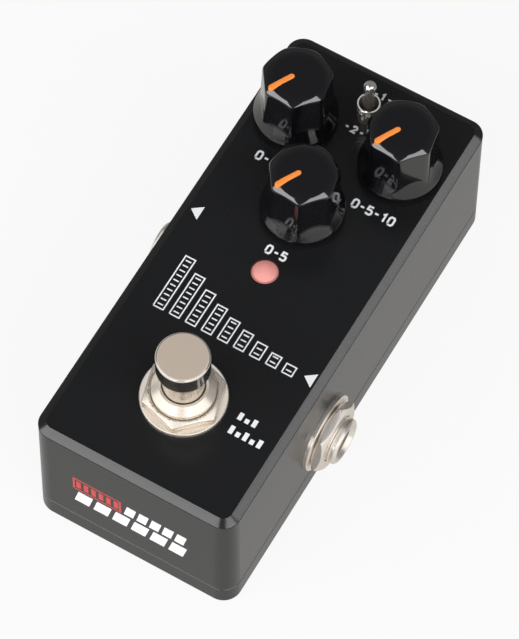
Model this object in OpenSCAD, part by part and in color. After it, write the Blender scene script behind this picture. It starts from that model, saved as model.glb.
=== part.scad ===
/* [Box] */
// Width of the box across the crease below its top bevel
body_w = 40.5; // [40:0.1:60]
// Length of the box along the crease below its top bevel
body_l = 94; // [93:0.5:140]
// Height of the box from the floor to the panel
body_h = 32.2; // [32:0.1:45]
// Plan radius of the upright corners
corner_r = 3.2; // [2.4:0.1:4]
// Outward lean of each side from the crease down to the floor
draft = 0.36; // [0:0.02:0.6]
// Width of the bevel band round the panel
bevel_w = 1.5; // [0.6:0.1:1.8]
// Drop of the bevel band from the panel to the crease
bevel_h = 1; // [0.4:0.1:1.6]
// Outward swell of the bevel band at its middle
bevel_bulge = 0.02; // [0:0.01:0.2]
// Thickness of the side walls
wall = 2.2; // [1.6:0.1:2.4]
// Thickness of the panel
panel_t = 2; // [1.6:0.1:2.4]
// Height of the seam between the shell and the cover
seam_z = 5; // [4.6:0.1:6]
// Depth of the small chamfers that make the seam line
seam_cut = 0.15; // [0.05:0.05:0.3]
// Thickness of the cover's floor
floor_t = 2; // [1.8:0.1:2.4]
// Chamfer of the cover's lower edge
foot_cut = 0.5; // [0.2:0.1:0.8]
// Radius of the corner posts that take the cover screws
post_r = 3; // [2.6:0.1:3.4]
// Depth that each post's middle stands in from the inner walls
post_inset = 2.4; // [2:0.1:2.6]

/* [Knobs] */
// Distance between the two rear knobs
knob_pitch = 21.8; // [20:0.1:23]
// Sideways place of the knobs from the middle line
knob_side = -0.5; // [-0.8:0.1:0.8]
// Distance of the rear knobs from the rear edge
rear_knob_in = 15.9; // [14:0.1:17]
// Distance of the middle knob from the rear edge
mid_knob_in = 32.5; // [31:0.1:34]
// Radius of the knob skirt
knob_skirt_r = 7.8; // [7.2:0.1:8.2]
// Height of the knob's top above the panel
knob_h = 15.2; // [13:0.1:18]
// Gap under the knob skirt
knob_gap = 0.8; // [0.5:0.1:1]
// Number of flat sides on the knob
knob_sides = 7; // [5:1:9]
// Radius of the knob at its corners
knob_corner_r = 6.7; // [6.2:0.1:7]
// Radius of the flat on top of the knob
knob_flat_r = 3.3; // [2:0.1:4.4]
// Radius of the rounded shoulder of the knob's top
knob_shoulder_r = 4.1; // [2.8:0.1:5]
// Height of the skirt's straight rim above its lower edge
knob_rim_h = 1.4; // [1:0.1:1.8]
// Height above the panel where the skirt's curve ends
knob_bell_h = 7.2; // [6.5:0.1:8]
// Depth inside the flats at which the skirt's curve ends
knob_bell_in = 0.4; // [0.2:0.1:0.8]
// Plan angle of the pointer at rest
pointer_angle = 241; // [180:1:300]
// Width of the pointer bar
pointer_w = 1.1; // [0.6:0.05:1.4]
// Radius at which the pointer's inner round end is centred
pointer_in_r = 1.15; // [1:0.05:2]
// Radius at which the pointer's outer round end is centred
pointer_out_r = 5.4; // [4:0.1:5.7]
// Depth of the pointer bar in the knob
pointer_t = 0.5; // [0.3:0.1:1]
// Height of the pointer bar's level top above the knob's flat
pointer_rise = 0.05; // [0.05:0.05:0.4]

/* [Potentiometers] */
// Width of the potentiometer case
pot_w = 9.8; // [9.4:0.1:10.4]
// Depth of the potentiometer case
pot_d = 11.4; // [10:0.1:12]
// Height of the potentiometer case
pot_h = 5.2; // [5:0.1:6.5]
// Thickness of the potentiometer base
pot_base_t = 1.2; // [1:0.1:1.8]
// Radius of the threaded bush
pot_bush_r = 3.5; // [3.5:0.1:3.8]
// Height of the bush above the panel
pot_bush_out = 2.8; // [2.5:0.1:3]
// Radius of the shaft
shaft_r = 3; // [2.6:0.1:3]
// Height of the shaft's end above the panel
shaft_out = 11; // [9:0.1:11.5]
// Distance of the shaft's flat from its axis
shaft_flat = 1.5; // [1:0.1:2]
// Radius of the rotor on the shaft
rotor_r = 4; // [3.5:0.1:4.2]
// Thickness of the rotor
rotor_t = 2.4; // [1.5:0.1:3]
// Width of the potentiometer nut across its flats
pot_nut_af = 10; // [9:0.1:10.2]
// Thickness of the potentiometer nut
pot_nut_t = 1.8; // [1.5:0.1:2]
// Thickness of the potentiometer washer
pot_washer_t = 0.4; // [0.3:0.1:0.6]
// Radius of the potentiometer washer
pot_washer_r = 5.2; // [4.8:0.1:5.6]
// Spacing of the potentiometer's terminals
pot_pin_pitch = 2.5; // [2:0.1:3]
// Distance of the terminals behind the case's front face
pot_pin_in = 1; // [0.6:0.1:1.4]

/* [Lamp] */
// Radius of the lamp's lens
lamp_r = 2.45; // [1.5:0.05:2.6]
// Distance of the lamp in front of the middle knob
lamp_gap = 14.1; // [12:0.1:16]
// Sideways place of the lamp from the middle line
lamp_side = -0.2; // [-0.5:0.1:0.5]
// Height of the lens dome above the panel
lamp_dome_h = 1.1; // [0.6:0.1:1.5]
// Radius of the lens flange below the panel
lamp_flange_r = 3; // [2.8:0.1:3.4]
// Height of the lens body below the panel, with its flange
lamp_body_h = 3; // [2:0.1:4]
// Distance between the lamp leads
lamp_lead_pitch = 2.54; // [2:0.01:3]

/* [Toggle] */
// Distance of the toggle from the rear edge
toggle_in = 9.2; // [8:0.1:10]
// Radius of the toggle's bush
toggle_bush_r = 2.2; // [2.2:0.1:2.8]
// Height of the bush above the panel
toggle_bush_h = 4.6; // [4:0.1:5]
// Radius of the bush's mouth
toggle_mouth_r = 1.8; // [1.8:0.05:2]
// Radius of the lever's round tip
toggle_tip_r = 1.2; // [1:0.05:1.5]
// Height of the middle of the tip above the panel
toggle_tip_h = 10.2; // [9:0.1:13]
// Radius of the lever at its ball
toggle_neck_r = 0.7; // [0.5:0.05:0.75]
// Radius of the lever's ball
toggle_ball_r = 1.3; // [1.1:0.05:1.5]
// Length of the lever below its ball's middle
toggle_tail = 3.6; // [3:0.1:4]
// Half of the lever's swing, in degrees
toggle_swing = 11; // [8:0.5:11]
// Width of the toggle's case
toggle_case_w = 6; // [5.6:0.1:6.8]
// Length of the toggle's case
toggle_case_l = 8.4; // [8:0.1:9]

/* [Foot switch] */
// Distance of the foot switch from the front edge
foot_in = 18.5; // [18:0.1:20]
// Radius of the switch's washer
foot_washer_r = 7.95; // [7.6:0.05:8.6]
// Thickness of the switch's washer
foot_washer_t = 0.9; // [0.6:0.1:1.2]
// Width of the switch's nut across its flats
foot_nut_af = 13.4; // [13:0.1:14]
// Thickness of the switch's nut
foot_nut_t = 2; // [1.6:0.1:2.4]
// Plan angle of a corner of the switch's nut
foot_nut_turn = 44.5; // [0:0.5:60]
// Radius of the threaded bush
foot_bush_r = 5.85; // [5.6:0.05:6]
// Height of the bush above the panel
foot_bush_h = 5; // [4.6:0.1:7]
// Width of the chamfer at the bush's rim
foot_bush_cut = 1.4; // [0.4:0.1:1.6]
// Radius of the plunger
foot_stem_r = 3.8; // [3.2:0.1:3.8]
// Radius of the cap
foot_cap_r = 4.9; // [4.4:0.1:5.6]
// Height of the cap's top above the panel
foot_cap_top = 15.9; // [13:0.1:18]
// Thickness of the cap
foot_cap_t = 4.2; // [3:0.1:5]
// Rounding of the cap's edges
foot_cap_round = 0.45; // [0.2:0.05:0.8]
// Width of the switch's case
foot_case_w = 16; // [14:0.1:17]
// Depth of the switch's case, front to rear
foot_case_d = 14; // [13:0.1:14.2]
// Height of the switch's case
foot_case_h = 16.5; // [16:0.1:19]
// Thickness of the lock nut under the panel
foot_lock_t = 2; // [1.5:0.1:2.5]
// Width of the lock nut across its flats
foot_lock_af = 14; // [13:0.1:15]
// Radius of the plunger's collar
foot_collar_r = 4.6; // [4.3:0.1:4.8]
// Thickness of the plunger's collar
foot_collar_t = 1.6; // [1:0.1:2]
// Length of the return spring at rest
spring_l = 9; // [7:0.1:10]
// Outer radius of the return spring
spring_r = 4.1; // [3.4:0.1:4.2]
// Radius of the return spring's wire
spring_wire_r = 0.3; // [0.2:0.05:0.4]
// Number of turns of the return spring
spring_turns = 6; // [4:1:8]
// Spacing of the switch's terminals across
foot_pin_x = 4.7; // [4:0.1:5]
// Spacing of the switch's terminals front to rear
foot_pin_y = 5; // [4:0.1:5.5]

/* [Jacks] */
// Distance of the right jack behind the foot switch
right_jack_y = 14.8; // [14.7:0.1:15.5]
// Distance of the left jack behind the right jack
left_jack_y = 18.5; // [17:0.1:19]
// Width of a jack's case
jack_w = 14; // [13:0.1:14.2]
// Height of a jack's case
jack_h = 10.4; // [10.2:0.1:11.6]
// Length of a jack's case
jack_l = 25.5; // [24:0.1:30]
// Radius of a jack's threaded bush
jack_bush_r = 4.5; // [4.2:0.1:5]
// Radius of the plug hole
jack_bore_r = 3.25; // [3.23:0.01:3.5]
// Radius of the plug's room inside the case
jack_room_r = 3.5; // [3.5:0.1:3.8]
// Depth of the plug's room from the bush's end
jack_depth = 30; // [26:0.1:31]
// Depth of the bush inside the case
jack_bush_in = 4; // [3:0.1:6]
// Reach of the bush outside the side wall
jack_out = 4.6; // [4:0.1:6]
// Radius of the jack's washer
jack_washer_r = 7.7; // [7.4:0.1:8.5]
// Thickness of the jack's washer
jack_washer_t = 0.7; // [0.5:0.1:1]
// Width of the jack's nut across its flats
jack_nut_af = 12.7; // [12:0.1:14]
// Thickness of the jack's nut
jack_nut_t = 2.1; // [1.8:0.1:2.6]
// Angle of a corner of the jack's nut
jack_nut_turn = 11; // [0:1:60]
// Thickness of the tip contact
contact_t = 0.4; // [0.3:0.05:0.6]
// Width of the tip contact
contact_w = 3; // [2:0.1:4]
// Length of the tip contact inside the case
contact_l = 14; // [10:0.1:16]

/* [Power socket] */
// Width of the socket's case
power_w = 9; // [9:0.1:11]
// Length of the socket's case
power_l = 13; // [12:0.1:14]
// Height of the socket's case above its axis
power_up = 4.5; // [4.4:0.1:6]
// Radius of the socket's nose in the rear wall
power_nose_r = 4.4; // [4.3:0.1:5]
// Distance of the nose's end below the outer face
power_sunk = 0.3; // [0.1:0.1:0.8]
// Radius of the plug hole
power_bore_r = 2.85; // [2.8:0.05:3.2]
// Depth of the plug hole
power_depth = 9.5; // [9:0.1:10.5]
// Radius of the centre pin
power_pin_r = 1.05; // [0.6:0.05:1.25]
// Distance of the pin's end below the nose's end
power_pin_sunk = 1; // [0.5:0.1:2]
// Radius of the pin's root in the case
power_root_r = 0.8; // [0.4:0.05:0.9]
// Length of the pin's root in the case
power_root_l = 1.5; // [1:0.1:3]
// Distance of the first terminal behind the case's inner end
power_tab_in = 1.5; // [1:0.1:2]
// Spacing of the socket's terminals
power_tab_pitch = 3; // [2:0.1:4]

/* [Boards] */
// Thickness of the boards
board_t = 1.6; // [1:0.1:1.8]
// Gap between the boards' edges and the walls
board_gap = 0.6; // [0.4:0.1:1]
// Height of the main board's seats above the cover's floor
seat_h = 4.1; // [3.9:0.1:4.3]
// Radius of the main board's seats
seat_r = 2.4; // [2:0.1:2.6]
// Distance of the control board's front edge in front of the lamp
control_front = 5; // [4:0.1:6]
// Distance of the seats from the middle, sideways
seat_x = 14; // [13:0.1:14.6]
// Distance of the seats from the main board's ends
seat_y = 4.8; // [4.3:0.1:5.3]
// Number of pins in the header between the boards
header_pins_n = 8; // [4:1:10]
// Spacing of the header's pins
header_pitch = 2.54; // [2:0.01:2.54]
// Distance of the header in front of the rear knobs
header_y = 8.5; // [7.9:0.1:9.3]
// Depth of the header's blocks
header_d = 2.5; // [2:0.1:2.8]
// Height of the header's socket
header_socket_h = 8.5; // [7:0.1:9]
// Length of a chip's body
chip_l = 8.6; // [5:0.1:9]
// Width of a chip's body
chip_w = 3.9; // [3:0.1:4]
// Height of a chip's body
chip_h = 1.5; // [1:0.1:1.8]
// Number of legs along each side of a chip
chip_legs = 7; // [3:1:8]
// Reach of a chip's legs beyond its body
chip_reach = 0.8; // [0.5:0.1:1]
// Width of a chip's legs
chip_leg_w = 0.4; // [0.3:0.05:0.5]
// Height of a chip's body above the board
chip_lift = 0.1; // [0.05:0.05:0.2]
// Radius of a capacitor's can
can_r = 2.5; // [2:0.1:2.6]
// Height of a capacitor's can
can_h = 7; // [5:0.1:8]
// Chamfer round the top of a can
can_cut = 0.3; // [0.1:0.1:0.5]

/* [Screws] */
// Radius of the cover screws
cover_screw_r = 1.5; // [1.2:0.1:1.6]
// Radius of the cover screws' heads
cover_head_r = 2.75; // [2.5:0.05:2.8]
// Length of the cover screws in the posts
cover_screw_in = 8; // [5:0.1:12]
// Radius of the board screws
board_screw_r = 1; // [0.8:0.1:1.2]
// Radius of the board screws' heads
board_head_r = 1.9; // [1.6:0.1:2.2]
// Thickness of the board screws' heads
board_head_t = 1.3; // [1:0.1:1.6]
// Width of the slot in the board screws' heads
board_slot_w = 0.5; // [0.4:0.1:0.8]

/* [Clearances] */
// Gap round a bush in its panel hole
hole_gap = 0.1; // [0.05:0.05:0.2]
// Running gap round a shaft or a plunger
run_gap = 0.05; // [0.03:0.01:0.08]
// Gap round a screw or pin in its hole
pin_gap = 0.1; // [0.05:0.05:0.15]
// Gap round a piece that sits in a recess
seat_gap = 0.3; // [0.2:0.05:0.4]
// Gap between neighbouring pieces on a board
piece_gap = 0.6; // [0.4:0.05:0.8]

/* [Hidden] */
$fn = 64;
eps = 0.5;
overrun = 1;
sides = [-1, 1];

// Colours
paint_black = [0.13, 0.13, 0.14];
knob_black = [0.05, 0.05, 0.05];
pointer_orange = [0.95, 0.6, 0.25];
nickel = [0.75, 0.73, 0.68];
steel = [0.6, 0.6, 0.62];
board_green = [0.1, 0.35, 0.2];
resin_black = [0.1, 0.1, 0.11];
lens_red = [0.95, 0.35, 0.33];
contact_brass = [0.8, 0.65, 0.35];
can_grey = [0.55, 0.57, 0.6];

// Levels and inner sizes of the box
crease_z = body_h - bevel_h;
ceiling_z = body_h - panel_t;
inner_w = body_w - 2 * wall;
inner_l = body_l - 2 * wall;
inner_r = 1.2;
post_x = inner_w / 2 - post_inset;
post_y = inner_l / 2 - post_inset;
bevel_steps = 4;
main_w = inner_w - 2 * board_gap;
main_l = 2 * (post_y - post_r - board_gap);
seat_place_y = main_l / 2 - seat_y;

// Sideways reach of the drafted outer face at a height, beyond the crease
function lean(z) = draft * (1 - z / crease_z);

// Places on the panel
rear_knob_y = body_l / 2 - rear_knob_in;
mid_knob_y = body_l / 2 - mid_knob_in;
left_place = [knob_side - knob_pitch / 2, rear_knob_y];
right_place = [knob_side + knob_pitch / 2, rear_knob_y];
centre_place = [knob_side, mid_knob_y];
knob_places = [left_place, right_place, centre_place];
lamp_place = [lamp_side, mid_knob_y - lamp_gap];
toggle_place = [0, body_l / 2 - toggle_in];
foot_place = [0, foot_in - body_l / 2];
input_y = foot_place[1] + right_jack_y;
output_y = input_y + left_jack_y;
header_place_y = rear_knob_y - header_y;

// Levels inside the box
pot_bottom = ceiling_z - pot_h;
control_top = pot_bottom - pot_base_t;
control_bottom = control_top - board_t;
main_bottom = floor_t + seat_h;
main_top = main_bottom + board_t;
jack_z = main_top + jack_h / 2;
pin_below = 0.7;

// Round-cornered plan
module plan(w, l, r) {
    square([w - 2 * r, l], center = true);
    square([w, l - 2 * r], center = true);
    for (sx = sides, sy = sides)
        translate([sx * (w / 2 - r), sy * (l / 2 - r)]) circle(r);
}

// Sweeps a side profile, measured outward from the corner centres, round the box's plan
module round_box(z0, z1) {
    core_w = body_w - 2 * corner_r;
    core_l = body_l - 2 * corner_r;
    translate([-core_w / 2, -core_l / 2, z0]) cube([core_w, core_l, z1 - z0]);
    for (turn = [0, 180])
        rotate([0, 0, turn]) {
            translate([core_w / 2, core_l / 2, 0]) rotate([90, 0, 0]) linear_extrude(core_l) children();
            translate([-core_w / 2, core_l / 2, 0]) rotate([90, 0, 90]) linear_extrude(core_w) children();
            translate([core_w / 2, core_l / 2, 0]) rotate_extrude(angle = 90) children();
            translate([-core_w / 2, core_l / 2, 0]) rotate([0, 0, 90]) rotate_extrude(angle = 90) children();
        }
}

// Profile of the shell's outer face with its bevel band
module shell_profile() {
    slope = atan2(bevel_w, bevel_h);
    band = [for (i = [0 : bevel_steps])
        let (t = i / bevel_steps, out = bevel_bulge * sin(180 * t))
        [corner_r - bevel_w * t + out * cos(slope), crease_z + bevel_h * t + out * sin(slope)]];
    polygon(concat([[0, seam_z], [corner_r + lean(seam_z) - seam_cut, seam_z],
        [corner_r + lean(seam_z + seam_cut), seam_z + seam_cut]], band, [[0, body_h]]));
}

// Profile of the cover's outer face
module cover_profile() {
    polygon([[0, 0], [corner_r + lean(0) - foot_cut, 0], [corner_r + lean(foot_cut), foot_cut],
        [corner_r + lean(seam_z - seam_cut), seam_z - seam_cut],
        [corner_r + lean(seam_z) - seam_cut, seam_z], [0, seam_z]]);
}

module at_posts() {
    for (sx = sides, sy = sides) translate([sx * post_x, sy * post_y, 0]) children();
}

module at_seats() {
    for (sx = sides, sy = sides) translate([sx * seat_x, sy * seat_place_y, 0]) children();
}

// Local frame of a jack: its axis along +X, out of the side wall
module at_jack(side) {
    y = side > 0 ? input_y : output_y;
    turn = side > 0 ? 0 : 180;
    translate([side * (body_w / 2 + lean(jack_z)), y, jack_z]) rotate([0, 0, turn]) children();
}

// Local frame of the power socket: its axis along +Y, from the rear wall's outer face
module at_power() {
    translate([0, body_l / 2 + lean(jack_z), jack_z]) children();
}

module x_cylinder(r, x0, x1) {
    translate([x0, 0, 0]) rotate([0, 90, 0]) cylinder(r = r, h = x1 - x0);
}

module y_cylinder(r, y0, y1) {
    translate([0, y1, 0]) rotate([90, 0, 0]) cylinder(r = r, h = y1 - y0);
}

module z_cylinder(r, z0, z1) {
    translate([0, 0, z0]) cylinder(r = r, h = z1 - z0);
}

// Hexagon nut with both ends chamfered, standing on the plane z = 0
nut_face_share = 0.96;
nut_chamfer = 30;

module hex_nut(af, t, bore_r) {
    corner = af / sqrt(3);
    face_r = af / 2 * nut_face_share;
    cut = (corner - face_r) * tan(nut_chamfer);
    difference() {
        intersection() {
            cylinder(r = corner, h = t, $fn = 6);
            rotate_extrude()
                polygon([[0, 0], [face_r, 0], [corner, cut], [corner, t - cut], [face_r, t], [0, t]]);
        }
        z_cylinder(bore_r, -eps, t + eps);
    }
}

module ring(r, bore_r, t) {
    difference() {
        cylinder(r = r, h = t);
        z_cylinder(bore_r, -eps, t + eps);
    }
}

// Hole in the panel round a bush
module panel_hole(place, r) {
    translate(place) z_cylinder(r + hole_gap, ceiling_z - eps, body_h + eps);
}

// Box
module enclosure() color(paint_black) {
    difference() {
        round_box(seam_z, body_h) shell_profile();
        difference() {
            translate([0, 0, seam_z - eps]) linear_extrude(ceiling_z - seam_z + eps)
                plan(inner_w, inner_l, inner_r);
            at_posts() z_cylinder(post_r, seam_z - eps, body_h);
        }
        at_posts() z_cylinder(cover_screw_r + pin_gap, seam_z - eps, seam_z + cover_screw_in + overrun);
        for (place = knob_places) panel_hole(place, pot_bush_r);
        panel_hole(lamp_place, lamp_r);
        panel_hole(toggle_place, toggle_bush_r);
        panel_hole(foot_place, foot_bush_r);
        for (side = sides) at_jack(side) x_cylinder(jack_bush_r + hole_gap, -wall - overrun, overrun);
        at_power() y_cylinder(power_nose_r + hole_gap, -wall - overrun, overrun);
    }
}

cover_head_h = cover_head_r - cover_screw_r;
cover_head_z = 0.15;
// Length and width of the cross slot over the head's radius, and its depth over the head's height
cover_slot_share = [1.2, 0.28, 0.6];

module bottom_cover() color(paint_black) {
    difference() {
        union() {
            difference() {
                round_box(0, seam_z) cover_profile();
                translate([0, 0, floor_t]) linear_extrude(seam_z) plan(inner_w, inner_l, inner_r);
            }
            at_posts() intersection() {
                z_cylinder(post_r, floor_t - eps, seam_z);
                translate([-inner_w / 2, -inner_l / 2, 0]) cube([inner_w, inner_l, seam_z]);
            }
            at_seats() z_cylinder(seat_r, floor_t - eps, main_bottom);
        }
        at_posts() {
            z_cylinder(cover_screw_r + pin_gap, -eps, seam_z + eps);
            z_cylinder(cover_head_r + pin_gap, -eps, cover_head_z);
            translate([0, 0, cover_head_z])
                cylinder(r1 = cover_head_r + pin_gap, r2 = cover_screw_r + pin_gap, h = cover_head_h);
        }
        at_seats() z_cylinder(board_screw_r + pin_gap, floor_t, main_bottom + eps);
    }
}

module cover_screws() color(steel) {
    slot_l = cover_head_r * cover_slot_share[0];
    slot_w = cover_head_r * cover_slot_share[1];
    slot_d = cover_head_h * cover_slot_share[2];
    at_posts() translate([0, 0, cover_head_z]) difference() {
        union() {
            cylinder(r1 = cover_head_r, r2 = cover_screw_r, h = cover_head_h);
            z_cylinder(cover_screw_r, cover_head_h / 2, seam_z + cover_screw_in - cover_head_z);
        }
        for (turn = [0, 90])
            rotate([0, 0, turn]) translate([-slot_l / 2, -slot_w / 2, -eps])
                cube([slot_l, slot_w, slot_d + eps]);
    }
}

// Knobs, in a local frame with the panel at z = 0
module at_knob(place) {
    translate([place[0], place[1], body_h]) children();
}

knob_apothem = knob_corner_r * cos(180 / knob_sides);
knob_cavity_r = pot_nut_af / sqrt(3) + seat_gap;
knob_cavity_h = pot_bush_out + seat_gap;
bell_drop = knob_bell_h - knob_gap - knob_rim_h;
bell_top_r = knob_apothem - knob_bell_in;
bell_in = knob_skirt_r - bell_top_r;
bell_arc_r = (bell_drop * bell_drop + bell_in * bell_in) / (2 * bell_in);

// Body of turning under the knob's rounded top, lowered by a depth
module knob_top_form(depth) {
    translate([0, 0, -depth]) rotate_extrude() {
        square([knob_flat_r, knob_h]);
        square([knob_flat_r + knob_shoulder_r, knob_h - knob_shoulder_r]);
        translate([knob_flat_r, knob_h - knob_shoulder_r]) intersection() {
            circle(knob_shoulder_r);
            square(knob_shoulder_r);
        }
    }
}

module pointer_bar() {
    rotate([0, 0, pointer_angle]) linear_extrude(knob_h + pointer_rise) {
        translate([pointer_in_r, -pointer_w / 2]) square([pointer_out_r - pointer_in_r, pointer_w]);
        for (r = [pointer_in_r, pointer_out_r]) translate([r, 0]) circle(pointer_w / 2);
    }
}

// Round bore with a flat, seen along the shaft
module shaft_section(gap) {
    difference() {
        circle(shaft_r + gap);
        rotate(pointer_angle) translate([shaft_flat + gap, -shaft_r * 2]) square(shaft_r * 4);
    }
}

module knob(place) color(knob_black) at_knob(place) {
    difference() {
        union() {
            intersection() {
                rotate([0, 0, pointer_angle]) z_cylinder_sides(knob_corner_r, knob_gap + knob_rim_h, knob_h);
                knob_top_form(0);
            }
            rotate_extrude() difference() {
                translate([0, knob_gap]) square([knob_skirt_r, knob_bell_h - knob_gap]);
                translate([bell_top_r + bell_arc_r, knob_bell_h]) circle(bell_arc_r, $fn = 128);
            }
        }
        z_cylinder(knob_cavity_r, -eps, knob_cavity_h);
        translate([0, 0, knob_cavity_h - eps]) linear_extrude(shaft_out - knob_cavity_h + eps + seat_gap)
            shaft_section(run_gap);
        difference() {
            pointer_bar();
            knob_top_form(pointer_t);
        }
    }
}

module z_cylinder_sides(r, z0, z1) {
    translate([0, 0, z0]) cylinder(r = r, h = z1 - z0, $fn = knob_sides);
}

module pointer(place) color(pointer_orange) at_knob(place) {
    difference() {
        pointer_bar();
        knob_top_form(pointer_t);
    }
}

// Potentiometers
rotor_z = pot_bottom + seat_gap;
rotor_room_h = rotor_t + 2 * seat_gap;

module pot_block(h) {
    translate([-pot_w / 2, -pot_d / 2, 0]) cube([pot_w, pot_d, h]);
}

module shaft(place) color(nickel) translate(place) {
    round_top = body_h + knob_cavity_h - seat_gap;
    z_cylinder(rotor_r, rotor_z, rotor_z + rotor_t);
    z_cylinder(shaft_r, rotor_z, round_top);
    translate([0, 0, round_top - eps]) linear_extrude(body_h + shaft_out - round_top + eps) shaft_section(0);
}

module pot_case(place) color(steel) translate(place) {
    difference() {
        union() {
            translate([0, 0, pot_bottom]) pot_block(pot_h);
            z_cylinder(pot_bush_r, pot_bottom + pot_h / 2, body_h + pot_bush_out);
        }
        z_cylinder(rotor_r + seat_gap, pot_bottom - eps, pot_bottom + rotor_room_h);
        z_cylinder(shaft_r + run_gap, pot_bottom, body_h + pot_bush_out + eps);
    }
}

module at_pot_pins() {
    for (i = [-1 : 1]) translate([i * pot_pin_pitch, pot_pin_in - pot_d / 2, 0]) children();
}

pin_r = 0.4;

module pot_base(place) color(contact_brass) translate(place) {
    translate([0, 0, control_top]) pot_block(pot_base_t);
    at_pot_pins() z_cylinder(pin_r, control_bottom - pin_below, control_top + pot_base_t / 2);
}

module pot_nuts() color(nickel) {
    for (place = knob_places)
        at_knob(place) translate([0, 0, pot_washer_t]) hex_nut(pot_nut_af, pot_nut_t, pot_bush_r + pin_gap);
}

module pot_washers() color(steel) {
    for (place = knob_places) at_knob(place) ring(pot_washer_r, pot_bush_r + pin_gap, pot_washer_t);
}

// Lamp
lamp_bottom = ceiling_z - lamp_body_h;
lamp_flange_t = 1;

module lamp_lens() color(lens_red) translate(lamp_place) {
    dome_r = (lamp_r * lamp_r + lamp_dome_h * lamp_dome_h) / (2 * lamp_dome_h);
    z_cylinder(lamp_flange_r, ceiling_z - lamp_flange_t, ceiling_z);
    intersection() {
        z_cylinder(lamp_r, lamp_bottom, body_h + lamp_dome_h);
        translate([0, 0, body_h + lamp_dome_h - dome_r]) union() {
            sphere(dome_r, $fn = 128);
            z_cylinder(dome_r, -lamp_body_h - body_h, 0);
        }
    }
}

lead_r = 0.3;

module at_lamp_leads() {
    translate(lamp_place) for (sx = sides) translate([sx * lamp_lead_pitch / 2, 0, 0]) children();
}

module lamp_leads() color(steel) {
    at_lamp_leads() z_cylinder(lead_r, control_bottom - pin_below, lamp_bottom);
}

// Toggle switch
toggle_pivot_drop = 0.2;
toggle_seat_share = 0.8;
toggle_taper_share = 0.8;
toggle_pivot_z = body_h - toggle_pivot_drop;
toggle_rim_z = body_h + toggle_bush_h;
toggle_throat_z = toggle_pivot_z + toggle_ball_r * toggle_seat_share;
toggle_throat_r = toggle_mouth_r - (toggle_rim_z - toggle_throat_z) * tan(toggle_swing);
toggle_lip = 0.25;
toggle_room_w = 2 * (toggle_neck_r + seat_gap);
toggle_room_l = 2 * (toggle_tail * sin(toggle_swing) + toggle_neck_r + seat_gap);
toggle_room_z = toggle_pivot_z - toggle_tail - seat_gap;

module toggle_lever() color(nickel) translate(toggle_place) {
    tail_z = toggle_pivot_z - toggle_tail;
    tip_z = body_h + toggle_tip_h;
    translate([0, 0, toggle_pivot_z]) sphere(toggle_ball_r);
    z_cylinder(toggle_neck_r, tail_z, toggle_pivot_z);
    translate([0, 0, toggle_pivot_z])
        cylinder(r1 = toggle_neck_r, r2 = toggle_tip_r * toggle_taper_share, h = tip_z - toggle_pivot_z);
    translate([0, 0, tip_z]) sphere(toggle_tip_r);
}

module toggle_bush() color(nickel) translate(toggle_place) {
    rotate_extrude() polygon([
        [toggle_ball_r + run_gap, ceiling_z],
        [toggle_bush_r, ceiling_z],
        [toggle_bush_r, toggle_rim_z - toggle_lip],
        [toggle_bush_r - toggle_lip, toggle_rim_z],
        [toggle_mouth_r, toggle_rim_z],
        [toggle_throat_r, toggle_throat_z],
        [toggle_ball_r + run_gap, toggle_throat_z]]);
}

module toggle_case() color(resin_black) translate(toggle_place) {
    difference() {
        translate([-toggle_case_w / 2, -toggle_case_l / 2, control_top])
            cube([toggle_case_w, toggle_case_l, ceiling_z - control_top]);
        translate([-toggle_room_w / 2, -toggle_room_l / 2, toggle_room_z])
            cube([toggle_room_w, toggle_room_l, ceiling_z - toggle_room_z + eps]);
    }
}

module at_toggle_pins() {
    translate(toggle_place)
        for (i = [-1 : 1]) translate([0, i * header_pitch, 0]) children();
}

module toggle_pins() color(contact_brass) {
    at_toggle_pins() z_cylinder(pin_r, control_bottom - pin_below, control_top);
}

// Foot switch
foot_case_top = ceiling_z - foot_lock_t;
foot_case_bottom = foot_case_top - foot_case_h;
foot_collar_top = foot_case_top - run_gap;
foot_collar_bottom = foot_collar_top - foot_collar_t;
foot_room_r = foot_collar_r + seat_gap;
foot_room_bottom = foot_collar_bottom - spring_l;

module foot_button() color(nickel) translate(foot_place) {
    cap_top = body_h + foot_cap_top;
    cap_bottom = cap_top - foot_cap_t;
    z_cylinder(foot_stem_r, foot_collar_bottom, cap_bottom + foot_cap_t / 2);
    z_cylinder(foot_collar_r, foot_collar_bottom, foot_collar_top);
    rotate_extrude() translate([0, cap_bottom]) {
        square([foot_cap_r - foot_cap_round, foot_cap_t]);
        translate([0, foot_cap_round]) square([foot_cap_r, foot_cap_t - 2 * foot_cap_round]);
        for (z = [foot_cap_round, foot_cap_t - foot_cap_round])
            translate([foot_cap_r - foot_cap_round, z]) circle(foot_cap_round);
    }
}

module foot_bush() color(nickel) translate(foot_place) {
    rim = body_h + foot_bush_h;
    rotate_extrude() polygon([
        [foot_stem_r + run_gap, foot_case_top],
        [foot_bush_r, foot_case_top],
        [foot_bush_r, rim - foot_bush_cut],
        [foot_bush_r - foot_bush_cut, rim],
        [foot_stem_r + run_gap, rim]]);
}

module foot_nut() color(nickel) {
    translate([foot_place[0], foot_place[1], body_h + foot_washer_t])
        rotate([0, 0, foot_nut_turn]) hex_nut(foot_nut_af, foot_nut_t, foot_bush_r + pin_gap);
}

module foot_washer() color(nickel) {
    translate([foot_place[0], foot_place[1], body_h])
        ring(foot_washer_r, foot_bush_r + pin_gap, foot_washer_t);
}

module foot_lock_nut() color(steel) {
    translate([foot_place[0], foot_place[1], foot_case_top])
        hex_nut(foot_lock_af, foot_lock_t, foot_bush_r + pin_gap);
}

module foot_case() color(resin_black) translate(foot_place) {
    difference() {
        translate([-foot_case_w / 2, -foot_case_d / 2, foot_case_bottom])
            cube([foot_case_w, foot_case_d, foot_case_h]);
        z_cylinder(foot_room_r, foot_room_bottom, foot_case_top + eps);
    }
}

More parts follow.
